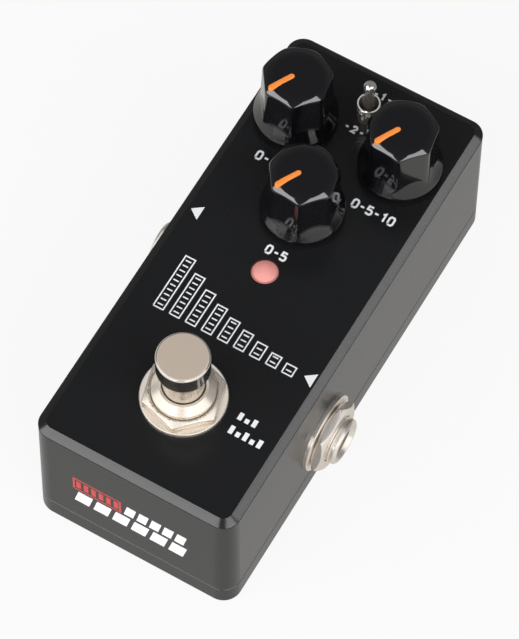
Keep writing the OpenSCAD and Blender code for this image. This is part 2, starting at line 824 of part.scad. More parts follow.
// Return spring: a round wire swept along a helix between the room's floor and the collar
module foot_spring() color(steel) translate(foot_place) {
    around = 6;
    rings_per_turn = 12;
    count = spring_turns * rings_per_turn;
    coil_r = spring_r - spring_wire_r;
    gap = run_gap;
    rise = spring_l - 2 * spring_wire_r - 2 * gap;
    tilt = atan2(rise / spring_turns, 2 * PI * coil_r);
    points = [for (i = [0 : count], j = [0 : around - 1])
        let (a = 360 * i / rings_per_turn, b = 360 * j / around,
            out = spring_wire_r * cos(b), up = spring_wire_r * sin(b))
        [(coil_r + out) * cos(a) + up * sin(tilt) * sin(a),
         (coil_r + out) * sin(a) - up * sin(tilt) * cos(a),
         foot_room_bottom + gap + spring_wire_r + rise * i / count + up * cos(tilt)]];
    skin = [for (i = [0 : count - 1], j = [0 : around - 1], k = [0, 1])
        let (p = i * around + j, q = i * around + (j + 1) % around)
        k == 0 ? [p, p + around, q] : [q, p + around, q + around]];
    first_end = [for (j = [1 : around - 2]) [0, j, j + 1]];
    last_end = [for (j = [1 : around - 2]) [count * around, count * around + j + 1, count * around + j]];
    polyhedron(points, concat(skin, first_end, last_end));
}

module at_foot_pins() {
    translate(foot_place)
        for (i = [-1 : 1], sy = sides) translate([i * foot_pin_x, sy * foot_pin_y / 2, 0]) children();
}

foot_pin_r = 0.6;

module foot_terminals() color(contact_brass) {
    at_foot_pins() z_cylinder(foot_pin_r, main_bottom - pin_below, foot_case_bottom);
}

// Jacks
touch_gap = 0.01;
jack_seat = jack_washer_r * sin(atan2(draft, crease_z)) + touch_gap;
jack_back = -wall - lean(jack_z);
jack_case_end = jack_back - jack_l;
jack_room_end = jack_out - jack_depth;
contact_z = jack_room_r + seat_gap;
contact_end = jack_case_end - contact_t;

module jack_case(side) color(resin_black) at_jack(side) {
    slot_w = contact_w + 2 * seat_gap;
    difference() {
        translate([jack_case_end, -jack_w / 2, -jack_h / 2]) cube([jack_l, jack_w, jack_h]);
        x_cylinder(jack_bush_r + pin_gap, jack_back - jack_bush_in, 0);
        x_cylinder(jack_room_r, jack_room_end, 0);
        translate([jack_case_end - eps, -slot_w / 2, contact_z - seat_gap])
            cube([contact_l + seat_gap + eps, slot_w, jack_h]);
    }
}

module jack_bush(side) color(nickel) at_jack(side) {
    thread_cut = 0.4;
    start = jack_back - jack_bush_in;
    rotate([90, 0, 90]) rotate_extrude() polygon([
        [jack_bore_r, start],
        [jack_bush_r, start],
        [jack_bush_r, jack_out - thread_cut],
        [jack_bush_r - thread_cut, jack_out],
        [jack_bore_r, jack_out]]);
}

module jack_nut(side) color(nickel) at_jack(side) {
    translate([jack_seat + jack_washer_t, 0, 0]) rotate([90, 0, 90]) rotate([0, 0, jack_nut_turn])
        hex_nut(jack_nut_af, jack_nut_t, jack_bush_r + pin_gap);
}

module jack_washer(side) color(nickel) at_jack(side) {
    translate([jack_seat, 0, 0]) rotate([90, 0, 90])
        ring(jack_washer_r, jack_bush_r + pin_gap, jack_washer_t);
}

// Tip contact: a leaf in the case's top slot, a strap down its back and a pin through the board
module jack_contact(side) color(contact_brass) at_jack(side) {
    board_z = main_bottom - jack_z;
    translate([contact_end, -contact_w / 2, contact_z]) cube([contact_l + contact_t, contact_w, contact_t]);
    translate([contact_end, -contact_w / 2, contact_t - jack_h / 2])
        cube([contact_t, contact_w, contact_z + jack_h / 2]);
    translate([contact_end - pin_r, -contact_w / 2, contact_t - jack_h / 2])
        cube([pin_r + contact_t, contact_w, contact_t]);
    translate([contact_end, 0, 0]) z_cylinder(pin_r, board_z - pin_below, 1.5 * contact_t - jack_h / 2);
}

// Power socket
power_face = -power_sunk;
power_back = -wall - lean(jack_z);
power_front = power_back - power_l;
power_root_end = power_face - power_depth - power_root_l;

module power_socket_case() color(resin_black) at_power() {
    difference() {
        union() {
            translate([-power_w / 2, power_front, -jack_h / 2])
                cube([power_w, power_l, jack_h / 2 + power_up]);
            y_cylinder(power_nose_r, power_back - eps, power_face);
        }
        y_cylinder(power_bore_r, power_face - power_depth, power_face + eps);
        y_cylinder(power_root_r, power_root_end, power_face);
    }
}

module power_socket_pin() color(nickel) at_power() {
    y_cylinder(power_pin_r, power_face - power_depth, power_face - power_pin_sunk);
    y_cylinder(power_root_r, power_root_end, power_face - power_depth + eps);
}

module at_power_pins() {
    at_power() for (i = [0 : 1])
        translate([0, power_front + power_tab_in + i * power_tab_pitch, 0]) children();
}

module power_socket_terminals() color(contact_brass) {
    at_power_pins() z_cylinder(foot_pin_r, main_bottom - pin_below - jack_z, -jack_h / 2);
}

// Boards
control_rear = inner_l / 2 - board_gap;
control_l = control_rear - lamp_place[1] + control_front;
board_r = 1;

module board(w, y0, l, z) {
    translate([0, y0 + l / 2, z]) linear_extrude(board_t) plan(w, l, board_r);
}

module board_hole(r, z) {
    z_cylinder(r + pin_gap, z - eps, z + board_t + eps);
}

module at_header_pins() {
    for (i = [0 : header_pins_n - 1])
        translate([(i - (header_pins_n - 1) / 2) * header_pitch, header_place_y, 0]) children();
}

module control_board() color(board_green) {
    notch = 2 * (post_r + 2 * board_gap);
    difference() {
        board(main_w, control_rear - control_l, control_l, control_bottom);
        for (sx = sides)
            translate([sx * (post_x + board_gap), post_y + board_gap, control_bottom + board_t / 2])
                cube([notch, notch, 2 * board_t], center = true);
        for (place = knob_places) translate(place) at_pot_pins() board_hole(pin_r, control_bottom);
        at_lamp_leads() board_hole(lead_r, control_bottom);
        at_toggle_pins() board_hole(pin_r, control_bottom);
        at_header_pins() board_hole(pin_r, control_bottom);
    }
}

module main_board() color(board_green) {
    difference() {
        board(main_w, -main_l / 2, main_l, main_bottom);
        at_seats() board_hole(board_screw_r, main_bottom);
        at_foot_pins() board_hole(foot_pin_r, main_bottom);
        for (side = sides) at_jack(side) translate([contact_end, 0, -jack_z]) board_hole(pin_r, main_bottom);
        at_power_pins() translate([0, 0, -jack_z]) board_hole(foot_pin_r, main_bottom);
        at_header_pins() board_hole(pin_r, main_bottom);
    }
}

module board_screws() color(steel) {
    at_seats() difference() {
        union() {
            z_cylinder(board_head_r, main_top, main_top + board_head_t);
            z_cylinder(board_screw_r, floor_t + pin_gap, main_top + board_head_t / 2);
        }
        translate([-board_head_r, -board_slot_w / 2, main_top + board_head_t / 2])
            cube([2 * board_head_r, board_slot_w, board_head_t]);
    }
}

// A chip with a row of legs along each long side
module chip() {
    pitch = chip_l / chip_legs;
    translate([-chip_w / 2, -chip_l / 2, chip_lift]) cube([chip_w, chip_l, chip_h]);
    for (side = sides, i = [0 : chip_legs - 1])
        translate([side * (chip_w + chip_reach) / 2, (i + 0.5) * pitch - chip_l / 2, chip_h / 4])
            cube([chip_reach, chip_leg_w, chip_h / 2], center = true);
}

// One chip on each side of the foot switch, in front of the right jack, and one across between the
// header and the power socket
module chips() color(resin_black) {
    side_x = main_w / 2 - piece_gap - chip_reach - chip_w / 2;
    side_y = input_y - (jack_w + chip_l) / 2 - piece_gap;
    header_rear = header_place_y + header_d / 2;
    socket_front = body_l / 2 + lean(jack_z) + power_front;
    for (side = sides) translate([side * side_x, side_y, main_top]) chip();
    translate([0, (header_rear + socket_front) / 2, main_top]) rotate([0, 0, 90]) chip();
}

// Two cans on each side of the power socket, in front of the rear seats
module capacitors() color(can_grey) {
    first_x = power_w / 2 + piece_gap + can_r;
    step_x = 2 * can_r + piece_gap;
    can_y = seat_place_y - board_head_r - pin_gap - can_r;
    for (side = sides, i = [0 : 1])
        translate([side * (first_x + i * step_x), can_y, main_top]) rotate_extrude()
            polygon([[0, 0], [can_r, 0], [can_r, can_h - can_cut], [can_r - can_cut, can_h], [0, can_h]]);
}

header_l = header_pins_n * header_pitch;
header_split = main_top + header_socket_h;

module header_block(z0, z1, room_gap) {
    difference() {
        translate([-header_l / 2, header_place_y - header_d / 2, z0]) cube([header_l, header_d, z1 - z0]);
        at_header_pins() z_cylinder(pin_r + room_gap, z0 - eps, z1 + eps);
    }
}

module header_socket() color(resin_black) header_block(main_top, header_split, pin_gap);

module header_plug() color(resin_black) header_block(header_split, control_bottom, pin_gap);

module header_pins() color(contact_brass) {
    at_header_pins() z_cylinder(pin_r, main_bottom - pin_below, control_top + pin_below);
}

enclosure();
bottom_cover();
cover_screws();
knob(left_place);  // left_knob
knob(right_place);  // right_knob
knob(centre_place);  // centre_knob
pointer(left_place);  // left_pointer
pointer(right_place);  // right_pointer
pointer(centre_place);  // centre_pointer
shaft(left_place);  // left_shaft
shaft(right_place);  // right_shaft
shaft(centre_place);  // centre_shaft
pot_case(left_place);  // left_pot_case
pot_case(right_place);  // right_pot_case
pot_case(centre_place);  // centre_pot_case
pot_base(left_place);  // left_pot_base
pot_base(right_place);  // right_pot_base
pot_base(centre_place);  // centre_pot_base
pot_nuts();
pot_washers();
lamp_lens();
lamp_leads();
toggle_lever();
toggle_bush();
toggle_case();
toggle_pins();
foot_button();
foot_bush();
foot_nut();
foot_washer();
foot_lock_nut();
foot_case();
foot_spring();
foot_terminals();
jack_case(1);  // input_jack_case
jack_bush(1);  // input_jack_bush
jack_nut(1);  // input_jack_nut
jack_washer(1);  // input_jack_washer
jack_contact(1);  // input_jack_contact
jack_case(-1);  // output_jack_case
jack_bush(-1);  // output_jack_bush
jack_nut(-1);  // output_jack_nut
jack_washer(-1);  // output_jack_washer
jack_contact(-1);  // output_jack_contact
power_socket_case();
power_socket_pin();
power_socket_terminals();
control_board();
main_board();
board_screws();
chips();
capacitors();
header_socket();
header_plug();
header_pins();
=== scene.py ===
import bpy
import numpy as np
from mathutils import Matrix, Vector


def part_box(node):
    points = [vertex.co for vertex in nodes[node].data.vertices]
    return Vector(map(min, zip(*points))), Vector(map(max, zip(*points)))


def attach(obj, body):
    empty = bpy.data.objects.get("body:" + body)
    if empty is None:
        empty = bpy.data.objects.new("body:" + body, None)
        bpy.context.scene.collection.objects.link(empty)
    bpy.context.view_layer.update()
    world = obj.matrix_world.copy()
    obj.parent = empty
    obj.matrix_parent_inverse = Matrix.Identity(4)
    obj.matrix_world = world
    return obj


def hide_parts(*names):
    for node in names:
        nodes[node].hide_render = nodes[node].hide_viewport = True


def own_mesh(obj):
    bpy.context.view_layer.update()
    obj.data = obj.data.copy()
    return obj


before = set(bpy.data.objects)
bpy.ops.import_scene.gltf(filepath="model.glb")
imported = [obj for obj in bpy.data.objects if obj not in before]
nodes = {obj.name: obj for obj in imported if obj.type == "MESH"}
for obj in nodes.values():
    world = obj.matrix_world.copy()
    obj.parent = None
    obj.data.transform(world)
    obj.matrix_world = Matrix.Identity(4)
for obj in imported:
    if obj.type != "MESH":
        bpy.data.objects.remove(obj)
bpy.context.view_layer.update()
scene = bpy.context.scene
mm = 0.001
tau = 2 * np.pi
upAxes = np.eye(3)
print("frame loaded:", len(nodes), "nodes")


# Lowest and highest corner of a CAD node in millimetres
def boxOf(node):
    low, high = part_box(node)
    return np.array(low) / mm, np.array(high) / mm


def middleOf(node):
    low, high = boxOf(node)
    return (low + high) / 2


panelZ = boxOf("enclosure")[1][2]


# Right, up and back directions of a plane that faces the object from an azimuth (0 is the front, turning to
# +X) and an elevation
def facing(azimuth, elevation):
    az, el = np.radians([azimuth, elevation])
    back = np.array([np.sin(az) * np.cos(el), -np.cos(az) * np.cos(el), np.sin(el)])
    right = np.array([np.cos(az), np.sin(az), 0.0])
    return right, np.cross(back, right), back


# Matrix of an object with these directions at a place in metres
def placed(right, up, back, place):
    matrix = np.eye(4)
    matrix[:3, :] = np.stack([right, up, back, place], 1)
    return Matrix(matrix.tolist())


# Camera
camera = {"azimuth": 29.1867, "elevation": 62.8557, "roll": 0.9747, "distance": 740.52,
          "aim": (0.0337, -1.6794, 17.0), "lens": 228.84, "sensor": 36.0, "clipEnd": 50}


def makeCamera(look):
    right, up, back = facing(look["azimuth"], look["elevation"])
    roll = np.radians(look["roll"])
    turnedRight = np.cos(roll) * right + np.sin(roll) * up
    turnedUp = np.cos(roll) * up - np.sin(roll) * right
    data = bpy.data.cameras.new("camera")
    data.lens = look["lens"]
    data.sensor_width = look["sensor"]
    data.clip_end = look["clipEnd"]
    obj = bpy.data.objects.new("camera", data)
    place = (np.array(look["aim"]) + look["distance"] * back) * mm
    obj.matrix_world = placed(turnedRight, turnedUp, back, place)
    scene.collection.objects.link(obj)
    scene.camera = obj


makeCamera(camera)
print("camera placed")


# Node helpers
def addNode(tree, kind, inputs=None, **settings):
    node = tree.nodes.new(kind)
    for key, value in settings.items():
        setattr(node, key, value)
    for key, value in (inputs or {}).items():
        if isinstance(value, bpy.types.NodeSocket):
            tree.links.new(value, node.inputs[key])
        else:
            node.inputs[key].default_value = value
    return node


def addMath(tree, operation, *values, **settings):
    node = addNode(tree, "ShaderNodeMath", dict(enumerate(values)), operation=operation, **settings)
    return node.outputs[0]


def addVector(tree, operation, *values):
    return addNode(tree, "ShaderNodeVectorMath", dict(enumerate(values)), operation=operation)


def addNoise(tree, vector, scale, detail, roughness):
    inputs = {"Vector": vector, "Scale": scale, "Detail": detail, "Roughness": roughness}
    return addNode(tree, "ShaderNodeTexNoise", inputs).outputs["Fac"]


# Value that goes from low to high while another goes through a reach in millimetres
def addRange(tree, value, reach, low, high):
    inputs = {"Value": value, "From Min": reach[0] * mm, "From Max": reach[1] * mm,
              "To Min": low, "To Max": high}
    return addNode(tree, "ShaderNodeMapRange", inputs).outputs[0]


def newGroup(name, inputs, outputs):
    tree = bpy.data.node_groups.new(name, "ShaderNodeTree")
    for way, sockets in (("INPUT", inputs), ("OUTPUT", outputs)):
        for label, kind in sockets:
            tree.interface.new_socket(label, in_out=way, socket_type="NodeSocket" + kind)
    return tree, tree.nodes.new("NodeGroupInput"), tree.nodes.new("NodeGroupOutput")


# Shared grain: slow cloudy tone, fine speckle for height and an uneven gloss
grainLook = {"fine": {"detail": 3.0, "roughness": 0.55},
             "cloud": {"scale": 120.0, "detail": 4.0, "roughness": 0.6}}


def makeGrainGroup(look):
    tree, start, end = newGroup(
        "surfaceGrain",
        [("Vector", "Vector"), ("Tone", "Color"), ("Vary", "Float"), ("Rough", "Float"),
         ("RoughVary", "Float"), ("Scale", "Float")],
        [("Tone", "Color"), ("Rough", "Float"), ("Height", "Float")])
    given = start.outputs
    fine = addNoise(tree, given["Vector"], given["Scale"], **look["fine"])
    cloud = addNoise(tree, given["Vector"], **look["cloud"])
    swing = addMath(tree, "ADD", addMath(tree, "ADD", fine, cloud), -1.0)  # about zero on average
    toneSwing = addMath(tree, "MULTIPLY_ADD", swing, given["Vary"], 1.0)
    tone = addNode(tree, "ShaderNodeVectorMath", {0: given["Tone"], "Scale": toneSwing}, operation="SCALE")
    rough = addMath(tree, "MULTIPLY_ADD", swing, given["RoughVary"], given["Rough"], use_clamp=True)
    tree.links.new(tone.outputs[0], end.inputs["Tone"])
    tree.links.new(rough, end.inputs["Rough"])
    tree.links.new(fine, end.inputs["Height"])
    return tree


# Shared turning marks: noise that depends only on the distance from the Z axis and the height
turningLook = {"detail": 2.0, "roughness": 0.5}


def makeTurnedGroup(look):
    tree, start, end = newGroup("turningMarks", [("Vector", "Vector"), ("Scale", "Float")],
                                [("Height", "Float")])
    parts = addNode(tree, "ShaderNodeSeparateXYZ", {0: start.outputs["Vector"]}).outputs
    flat = addNode(tree, "ShaderNodeCombineXYZ", {"X": parts["X"], "Y": parts["Y"]})
    reach = addVector(tree, "LENGTH", flat.outputs[0]).outputs["Value"]
    ring = addNode(tree, "ShaderNodeCombineXYZ", {"X": reach, "Z": parts["Z"]})
    tree.links.new(addNoise(tree, ring.outputs[0], start.outputs["Scale"], **look), end.inputs["Height"])
    return tree


grainGroup = makeGrainGroup(grainLook)
turnedGroup = makeTurnedGroup(turningLook)

# What a finish has unless it says otherwise; bumpDepth and centre are in millimetres
plainLook = {"vary": 0.15, "roughVary": 0.08, "scale": 1500.0, "metal": 0.0, "ior": 1.5, "bump": 0.0,
             "bumpDepth": 0.01, "turned": 0.0, "centre": (0, 0, 0), "glow": 0.0}


# Principled material fed by the shared grain, with a bump from the grain or from turning marks
def makeMaterial(name, finish):
    look = {**plainLook, **finish}
    mat = bpy.data.materials.new(name)
    mat.use_nodes = True
    tree = mat.node_tree
    shader = tree.nodes["Principled BSDF"]
    coords = addNode(tree, "ShaderNodeTexCoord")
    place = addNode(tree, "ShaderNodeMapping", {"Vector": coords.outputs["Object"],
                                                "Location": tuple(-v * mm for v in look["centre"])})
    grain = addNode(tree, "ShaderNodeGroup", {
        "Vector": place.outputs[0], "Tone": (*look["tone"], 1), "Vary": look["vary"], "Rough": look["rough"],
        "RoughVary": look["roughVary"], "Scale": look["scale"]}, node_tree=grainGroup)
    tree.links.new(grain.outputs["Tone"], shader.inputs["Base Color"])
    tree.links.new(grain.outputs["Rough"], shader.inputs["Roughness"])
    shader.inputs["Metallic"].default_value = look["metal"]
    shader.inputs["IOR"].default_value = look["ior"]
    if look["bump"]:
        height = grain.outputs["Height"]
        if look["turned"]:
            marks = addNode(tree, "ShaderNodeGroup", {"Vector": place.outputs[0], "Scale": look["turned"]},
                            node_tree=turnedGroup)
            height = marks.outputs["Height"]
        bump = addNode(tree, "ShaderNodeBump", {"Height": height, "Strength": look["bump"],
                                                "Distance": look["bumpDepth"] * mm})
        tree.links.new(bump.outputs[0], shader.inputs["Normal"])
    if look["glow"]:
        tree.links.new(grain.outputs["Tone"], shader.inputs["Emission Color"])
        shader.inputs["Emission Strength"].default_value = look["glow"]
    return mat


footCentre = middleOf("foot_washer")
looks = {
    "bodyPaint": {"tone": (0.0094, 0.0098, 0.0104), "vary": 0.2, "rough": 0.22, "roughVary": 0.06,
                  "scale": 2600.0, "bump": 0.1, "ior": 1.39},
    "knobGloss": {"tone": (0.004, 0.004, 0.005), "vary": 0.2, "rough": 0.08, "roughVary": 0.04,
                  "scale": 900.0, "bump": 0.05, "ior": 1.55},
    "pointerOrange": {"tone": (0.98, 0.28, 0.045), "vary": 0.08, "rough": 0.42},
    "polishedNickel": {"tone": (0.80, 0.74, 0.66), "vary": 0.05, "rough": 0.2, "roughVary": 0.05,
                       "metal": 1.0, "scale": 900.0, "bump": 0.02},
    "satinNickel": {"tone": (0.86, 0.80, 0.73), "vary": 0.06, "rough": 0.3, "roughVary": 0.1, "metal": 0.9,
                    "scale": 1400.0, "bump": 0.08},
    "turnedNickel": {"tone": (0.87, 0.79, 0.69), "vary": 0.05, "rough": 0.26, "metal": 0.8,
                     "centre": footCentre, "turned": 5000.0, "bump": 0.06},
    "capTopNickel": {"tone": (0.71, 0.60, 0.49), "vary": 0.05, "rough": 0.4, "metal": 0.9, "scale": 1800.0,
                     "bump": 0.1},
    "chrome": {"tone": (0.70, 0.67, 0.63), "vary": 0.06, "rough": 0.16, "roughVary": 0.05, "metal": 0.89,
               "scale": 900.0, "bump": 0.04},
    "steel": {"tone": (0.55, 0.55, 0.56), "vary": 0.08, "rough": 0.3, "metal": 1.0, "scale": 1200.0,
              "bump": 0.08},
    "lampLens": {"tone": (0.53, 0.21, 0.19), "vary": 0.12, "rough": 0.5, "scale": 500.0, "glow": 0.5},
    "blackResin": {"tone": (0.012, 0.012, 0.013), "vary": 0.2, "rough": 0.5, "bump": 0.1},
    "greenBoard": {"tone": (0.02, 0.12, 0.05), "vary": 0.25, "rough": 0.4},
    "brassContact": {"tone": (0.8, 0.58, 0.25), "vary": 0.1, "rough": 0.3, "metal": 1.0},
    "canAluminium": {"tone": (0.6, 0.61, 0.63), "vary": 0.1, "rough": 0.35, "metal": 1.0},
    "whiteInk": {"tone": (0.85, 0.86, 0.87), "vary": 0.06, "rough": 0.5, "scale": 3000.0},
    "redInk": {"tone": (0.5, 0.05, 0.045), "vary": 0.1, "rough": 0.5, "scale": 3000.0},
    # Painted shade: a dark colour without gloss for the line in the crease below the bevel
    "paintedCreaseShade": {"tone": (0.045, 0.045, 0.043), "vary": 0.1, "rough": 0.9, "ior": 1.0, "scale": 3000.0},
}
materials = {name: makeMaterial(name, look) for name, look in looks.items()}
print("materials made:", len(materials))

# Every CAD node gets a material by the end of its name; a later row overrides an earlier one
nodeMaterials = [
    ("blackResin", ("_case", "chips", "header_socket", "header_plug")),
    ("steel", ("_pot_case", "cover_screws", "board_screws", "pot_washers", "lamp_leads", "foot_spring")),
    ("polishedNickel", ("_shaft", "_bush", "_nut", "_washer", "power_socket_pin")),
    ("satinNickel", ("pot_nuts",)),
    ("chrome", ("toggle_lever", "toggle_bush")),
    ("turnedNickel", ("foot_bush", "foot_nut", "foot_washer", "foot_button")),
    ("brassContact", ("_contact", "_pot_base", "_pins", "_terminals")),
    ("greenBoard", ("control_board", "main_board")),
    ("canAluminium", ("capacitors",)),
    ("bodyPaint", ("enclosure", "bottom_cover")),
    ("knobGloss", ("_knob",)),
    ("pointerOrange", ("_pointer",)),
    ("lampLens", ("lamp_lens",)),
]
for materialName, endings in nodeMaterials:
    for nodeName, obj in nodes.items():
        if nodeName.endswith(endings):
            obj.data.materials.clear()
            obj.data.materials.append(materials[materialName])
print("CAD nodes dressed")


# Surface builders
# Quads between the rows of a grid whose columns go round; open ends get a fan to their middle
def gridFaces(rows, cols, ringRows):
    row = np.arange(rows if ringRows else rows - 1)[:, None]
    col = np.arange(cols)[None, :]
    here, there = row * cols, (row + 1) % rows * cols
    nextCol = (col + 1) % cols
    quads = np.stack([here + col, here + nextCol, there + nextCol, there + col], -1)
    faces = quads.reshape(-1, 4).tolist()
    if not ringRows:
        first = np.arange(cols)
        after = (first + 1) % cols
        low = np.full(cols, rows * cols)
        high = low + 1
        faces += np.stack([after, first, low], -1).tolist()
        lastRow = (rows - 1) * cols
        faces += np.stack([lastRow + first, lastRow + after, high], -1).tolist()
    return faces


def gridPoints(grid, ringRows):
    points = grid.reshape(-1, 3)
    if ringRows:
        return points
    return np.concatenate([points, grid[:1].mean(1), grid[-1:].mean(1)])


# One piece from one or more grids in millimetres, joined in one mesh; a second material (name, first row)
# covers a single grid from that row up to its upper end, whose fan comes after the lower one
def makePiece(name, grids, material, body, replaced=(), ringRows=False, smooth=True, upper=None):
    points, faces, count = [], [], 0
    for grid in grids:
        part = gridPoints(grid, ringRows)
        faces += [[i + count for i in face] for face in gridFaces(grid.shape[0], grid.shape[1], ringRows)]
        points.append(part)
        count += len(part)
    mesh = bpy.data.meshes.new(name)
    mesh.from_pydata((np.concatenate(points) * mm).tolist(), [], faces)
    mesh.polygons.foreach_set("use_smooth", np.full(len(mesh.polygons), smooth))
    mesh.materials.append(materials[material])
    if upper:
        rows, cols = grids[0].shape[:2]
        row = np.arange(len(mesh.polygons)) // cols
        mesh.materials.append(materials[upper[0]])
        mesh.polygons.foreach_set("material_index", ((row >= upper[1]) & (row != rows - 1)).astype(np.int32))
    mesh.update()
    obj = bpy.data.objects.new(name, mesh)
    scene.collection.objects.link(obj)
    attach(obj, body)
    if replaced:
        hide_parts(*replaced)
    return obj


roundLook = {"share": 0.47, "hold": (0.06, 0.01)}  # most of a run that an arc takes; reach of a holding point


# Corner points (radius, height, rounding) with each corner turned into an arc, and a holding point on
# either side of the arc so that the flat runs stay flat when shaded
def roundProfile(corners, closed=True, steps=5):
    spots = np.array([corner[:2] for corner in corners], float)
    holdShare, holdLeast = roundLook["hold"]
    last = len(corners) - 1
    out = []
    for i, (spot, rounding) in enumerate(zip(spots, [corner[2] for corner in corners])):
        if rounding == 0 or (not closed and i in (0, last)):
            out.append(spot[None])
            continue
        before, after = spots[i - 1] - spot, spots[(i + 1) % len(spots)] - spot
        reachIn, reachOut = np.linalg.norm(before), np.linalg.norm(after)
        before, after = before / reachIn, after / reachOut
        half = np.arccos(np.clip(before @ after, -1, 1)) / 2
        tangent = min(rounding / np.tan(half), roundLook["share"] * min(reachIn, reachOut))
        radius = tangent * np.tan(half)
        bisector = (before + after) / np.linalg.norm(before + after)
        centre = spot + bisector * radius / np.sin(half)
        start, end = spot + before * tangent - centre, spot + after * tangent - centre
        low = np.arctan2(start[1], start[0])
        sweep = (np.arctan2(end[1], end[0]) - low + np.pi) % tau - np.pi
        angle = low + sweep * np.linspace(0, 1, steps + 1)
        arc = centre + radius * np.stack([np.cos(angle), np.sin(angle)], 1)
        hold = tangent + holdShare * tangent + holdLeast
        out += [(spot + before * hold)[None], arc, (spot + after * hold)[None]]
    return np.concatenate(out)


# Values in even steps within each band (first, last, count)
def stations(*bands):
    return np.concatenate([np.linspace(*band) for band in bands])


# One radius for each row, the same at every angle
def allRound(radius, angle):
    return np.repeat(radius[:, None], len(angle), 1)


# Turned surface: each row's radius, one for all angles or one for each, goes round the axis of a frame
# (centre, three axes) at the row's height
def turned(radius, height, centre, axes=upAxes, cols=96, angle=None):
    angle = np.arange(cols) * tau / cols if angle is None else angle
    reach = radius if radius.ndim == 2 else allRound(radius, angle)
    return (np.array(centre, float) + (reach * np.cos(angle))[..., None] * axes[0]
            + (reach * np.sin(angle))[..., None] * axes[1] + height[:, None, None] * axes[2])


# Lesser and greater of two arrays, with the change between them rounded over about k
def softMin(a, b, k):
    return -k * np.logaddexp(-a / k, -b / k)


def softMax(a, b, k):
    return k * np.logaddexp(a / k, b / k)


# Angles crowded towards the corners of a polygon: u - s sin(tau u) / tau within each side
def cornerAngles(sides, turn, perSide=36, crowd=0.8):
    u = np.arange(perSide) / perSide
    eased = u - crowd * np.sin(tau * u) / tau
    return np.radians(turn) + tau / sides * (np.arange(sides)[:, None] + eased[None, :]).ravel()


# Radius of a polygon with softened corners: the softer of the two nearest flats, apothem / cos(angle), with
# the further flat's angle kept short of a quarter turn
def polygonRadius(angle, sides, turn, corner, soft, widest=1.4):
    step = tau / sides
    apothem = corner * np.cos(step / 2)
    off = np.abs((angle - np.radians(turn)) % step - step / 2)
    return softMin(apothem / np.cos(off), apothem / np.cos(np.minimum(step - off, widest)), soft)


# Knobs
knobLook = {"sides": 7, "turn": 241, "corner": 6.73, "flat": 3.3, "shoulder": 4.1, "height": 15.2, "gap": 0.8,
            "skirt": 7.8, "rim": 1.4, "bellHeight": 7.2, "bellInside": 0.4, "flare": 0.3, "taper": 0.006,
            "cavity": (6.07, 3.1), "foot": 0.3, "soft": 0.22, "crest": 0.08, "bellSoft": 0.05, "cut": 0.02,
            "rows": {"skirt": [(1.1, 1.9, 4), (2.0, 2.5, 10), (2.65, 7.0, 34)], "side": (0.2, 12),
                     "shoulder": [(0, 25, 6), (30, 59, 30), (60, 88, 8)], "foot": (0, 80, 6),
                     "top": (0.05, 0.3, 8)}}


# Knob surface: at each height the radius is the seven-sided form, which narrows evenly upward, cut by the
# rounded shoulder, or the skirt's bell where that reaches further out; the bell widens with the depth and
# the square of the depth
def knobGrid(centre, look):
    rows = look["rows"]
    angle = cornerAngles(look["sides"], look["turn"])
    flats = polygonRadius(angle, look["sides"], look["turn"], look["corner"], look["soft"])
    top, shoulder, gap = look["height"], look["shoulder"], look["gap"]
    cut, bend = look["cut"], look["foot"]
    lift = np.radians(stations(*rows["shoulder"]))
    sideStop, sideCount = rows["side"]
    side = (look["bellHeight"], top - shoulder - sideStop, sideCount)
    z = np.concatenate([stations(*rows["skirt"], side), top - shoulder + shoulder * np.sin(lift)])
    bellTop = look["corner"] * np.cos(np.pi / look["sides"]) - look["bellInside"]
    drop = look["bellHeight"] - gap - look["rim"]
    depth = np.clip(look["bellHeight"] - z, 0, 1.3 * drop) / drop  # the bell goes on a little past the skirt
    flare = (look["skirt"] - bellTop) * ((1 - look["flare"]) * depth + look["flare"] * depth ** 2)
    bell = softMin(np.full_like(z, look["skirt"]), bellTop + flare, look["bellSoft"])
    bell = bell - 2 * np.clip(z - look["bellHeight"], 0, None)  # above its top it falls away inside the sides
    rise = np.clip(z - (top - shoulder), 0, shoulder)
    dome = look["flat"] + np.sqrt(np.maximum(shoulder ** 2 - rise ** 2, 0))
    sides = flats[None, :] * (1 + look["taper"] * (top - shoulder / 2 - z))[:, None]
    radius = softMax(softMin(sides, dome[:, None], look["crest"]), bell[:, None], look["bellSoft"])
    edge = np.radians(np.linspace(*rows["foot"]))
    foot = np.stack([look["skirt"] - bend * (1 - np.sin(edge)), gap + bend * (1 - np.cos(edge))], 1)
    inside, roof = look["cavity"]
    under = np.array([(0.5, roof), (inside - cut, roof), (inside, roof - cut), (inside, gap + cut),
                      (inside + cut, gap), *foot])
    topStart, topEnd, topCount = rows["top"]
    cap = np.linspace(look["flat"] - topStart, topEnd, topCount)
    reach = np.concatenate([allRound(under[:, 0], angle), radius, allRound(cap, angle)])
    height = np.concatenate([under[:, 1], z, np.full(topCount, top)])
    return turned(reach, height, centre, angle=angle)


pointerLook = {"inner": 1.15, "outer": 5.4, "width": 1.1, "rise": 0.05, "depth": 0.5, "square": 0.35,
               "endGap": 0.06, "endRows": 7, "middleRows": 14, "columns": 20}


# Wave pressed towards a square one: its sign times a power of its size
def pressed(wave, power):
    return np.sign(wave) * np.abs(wave) ** power


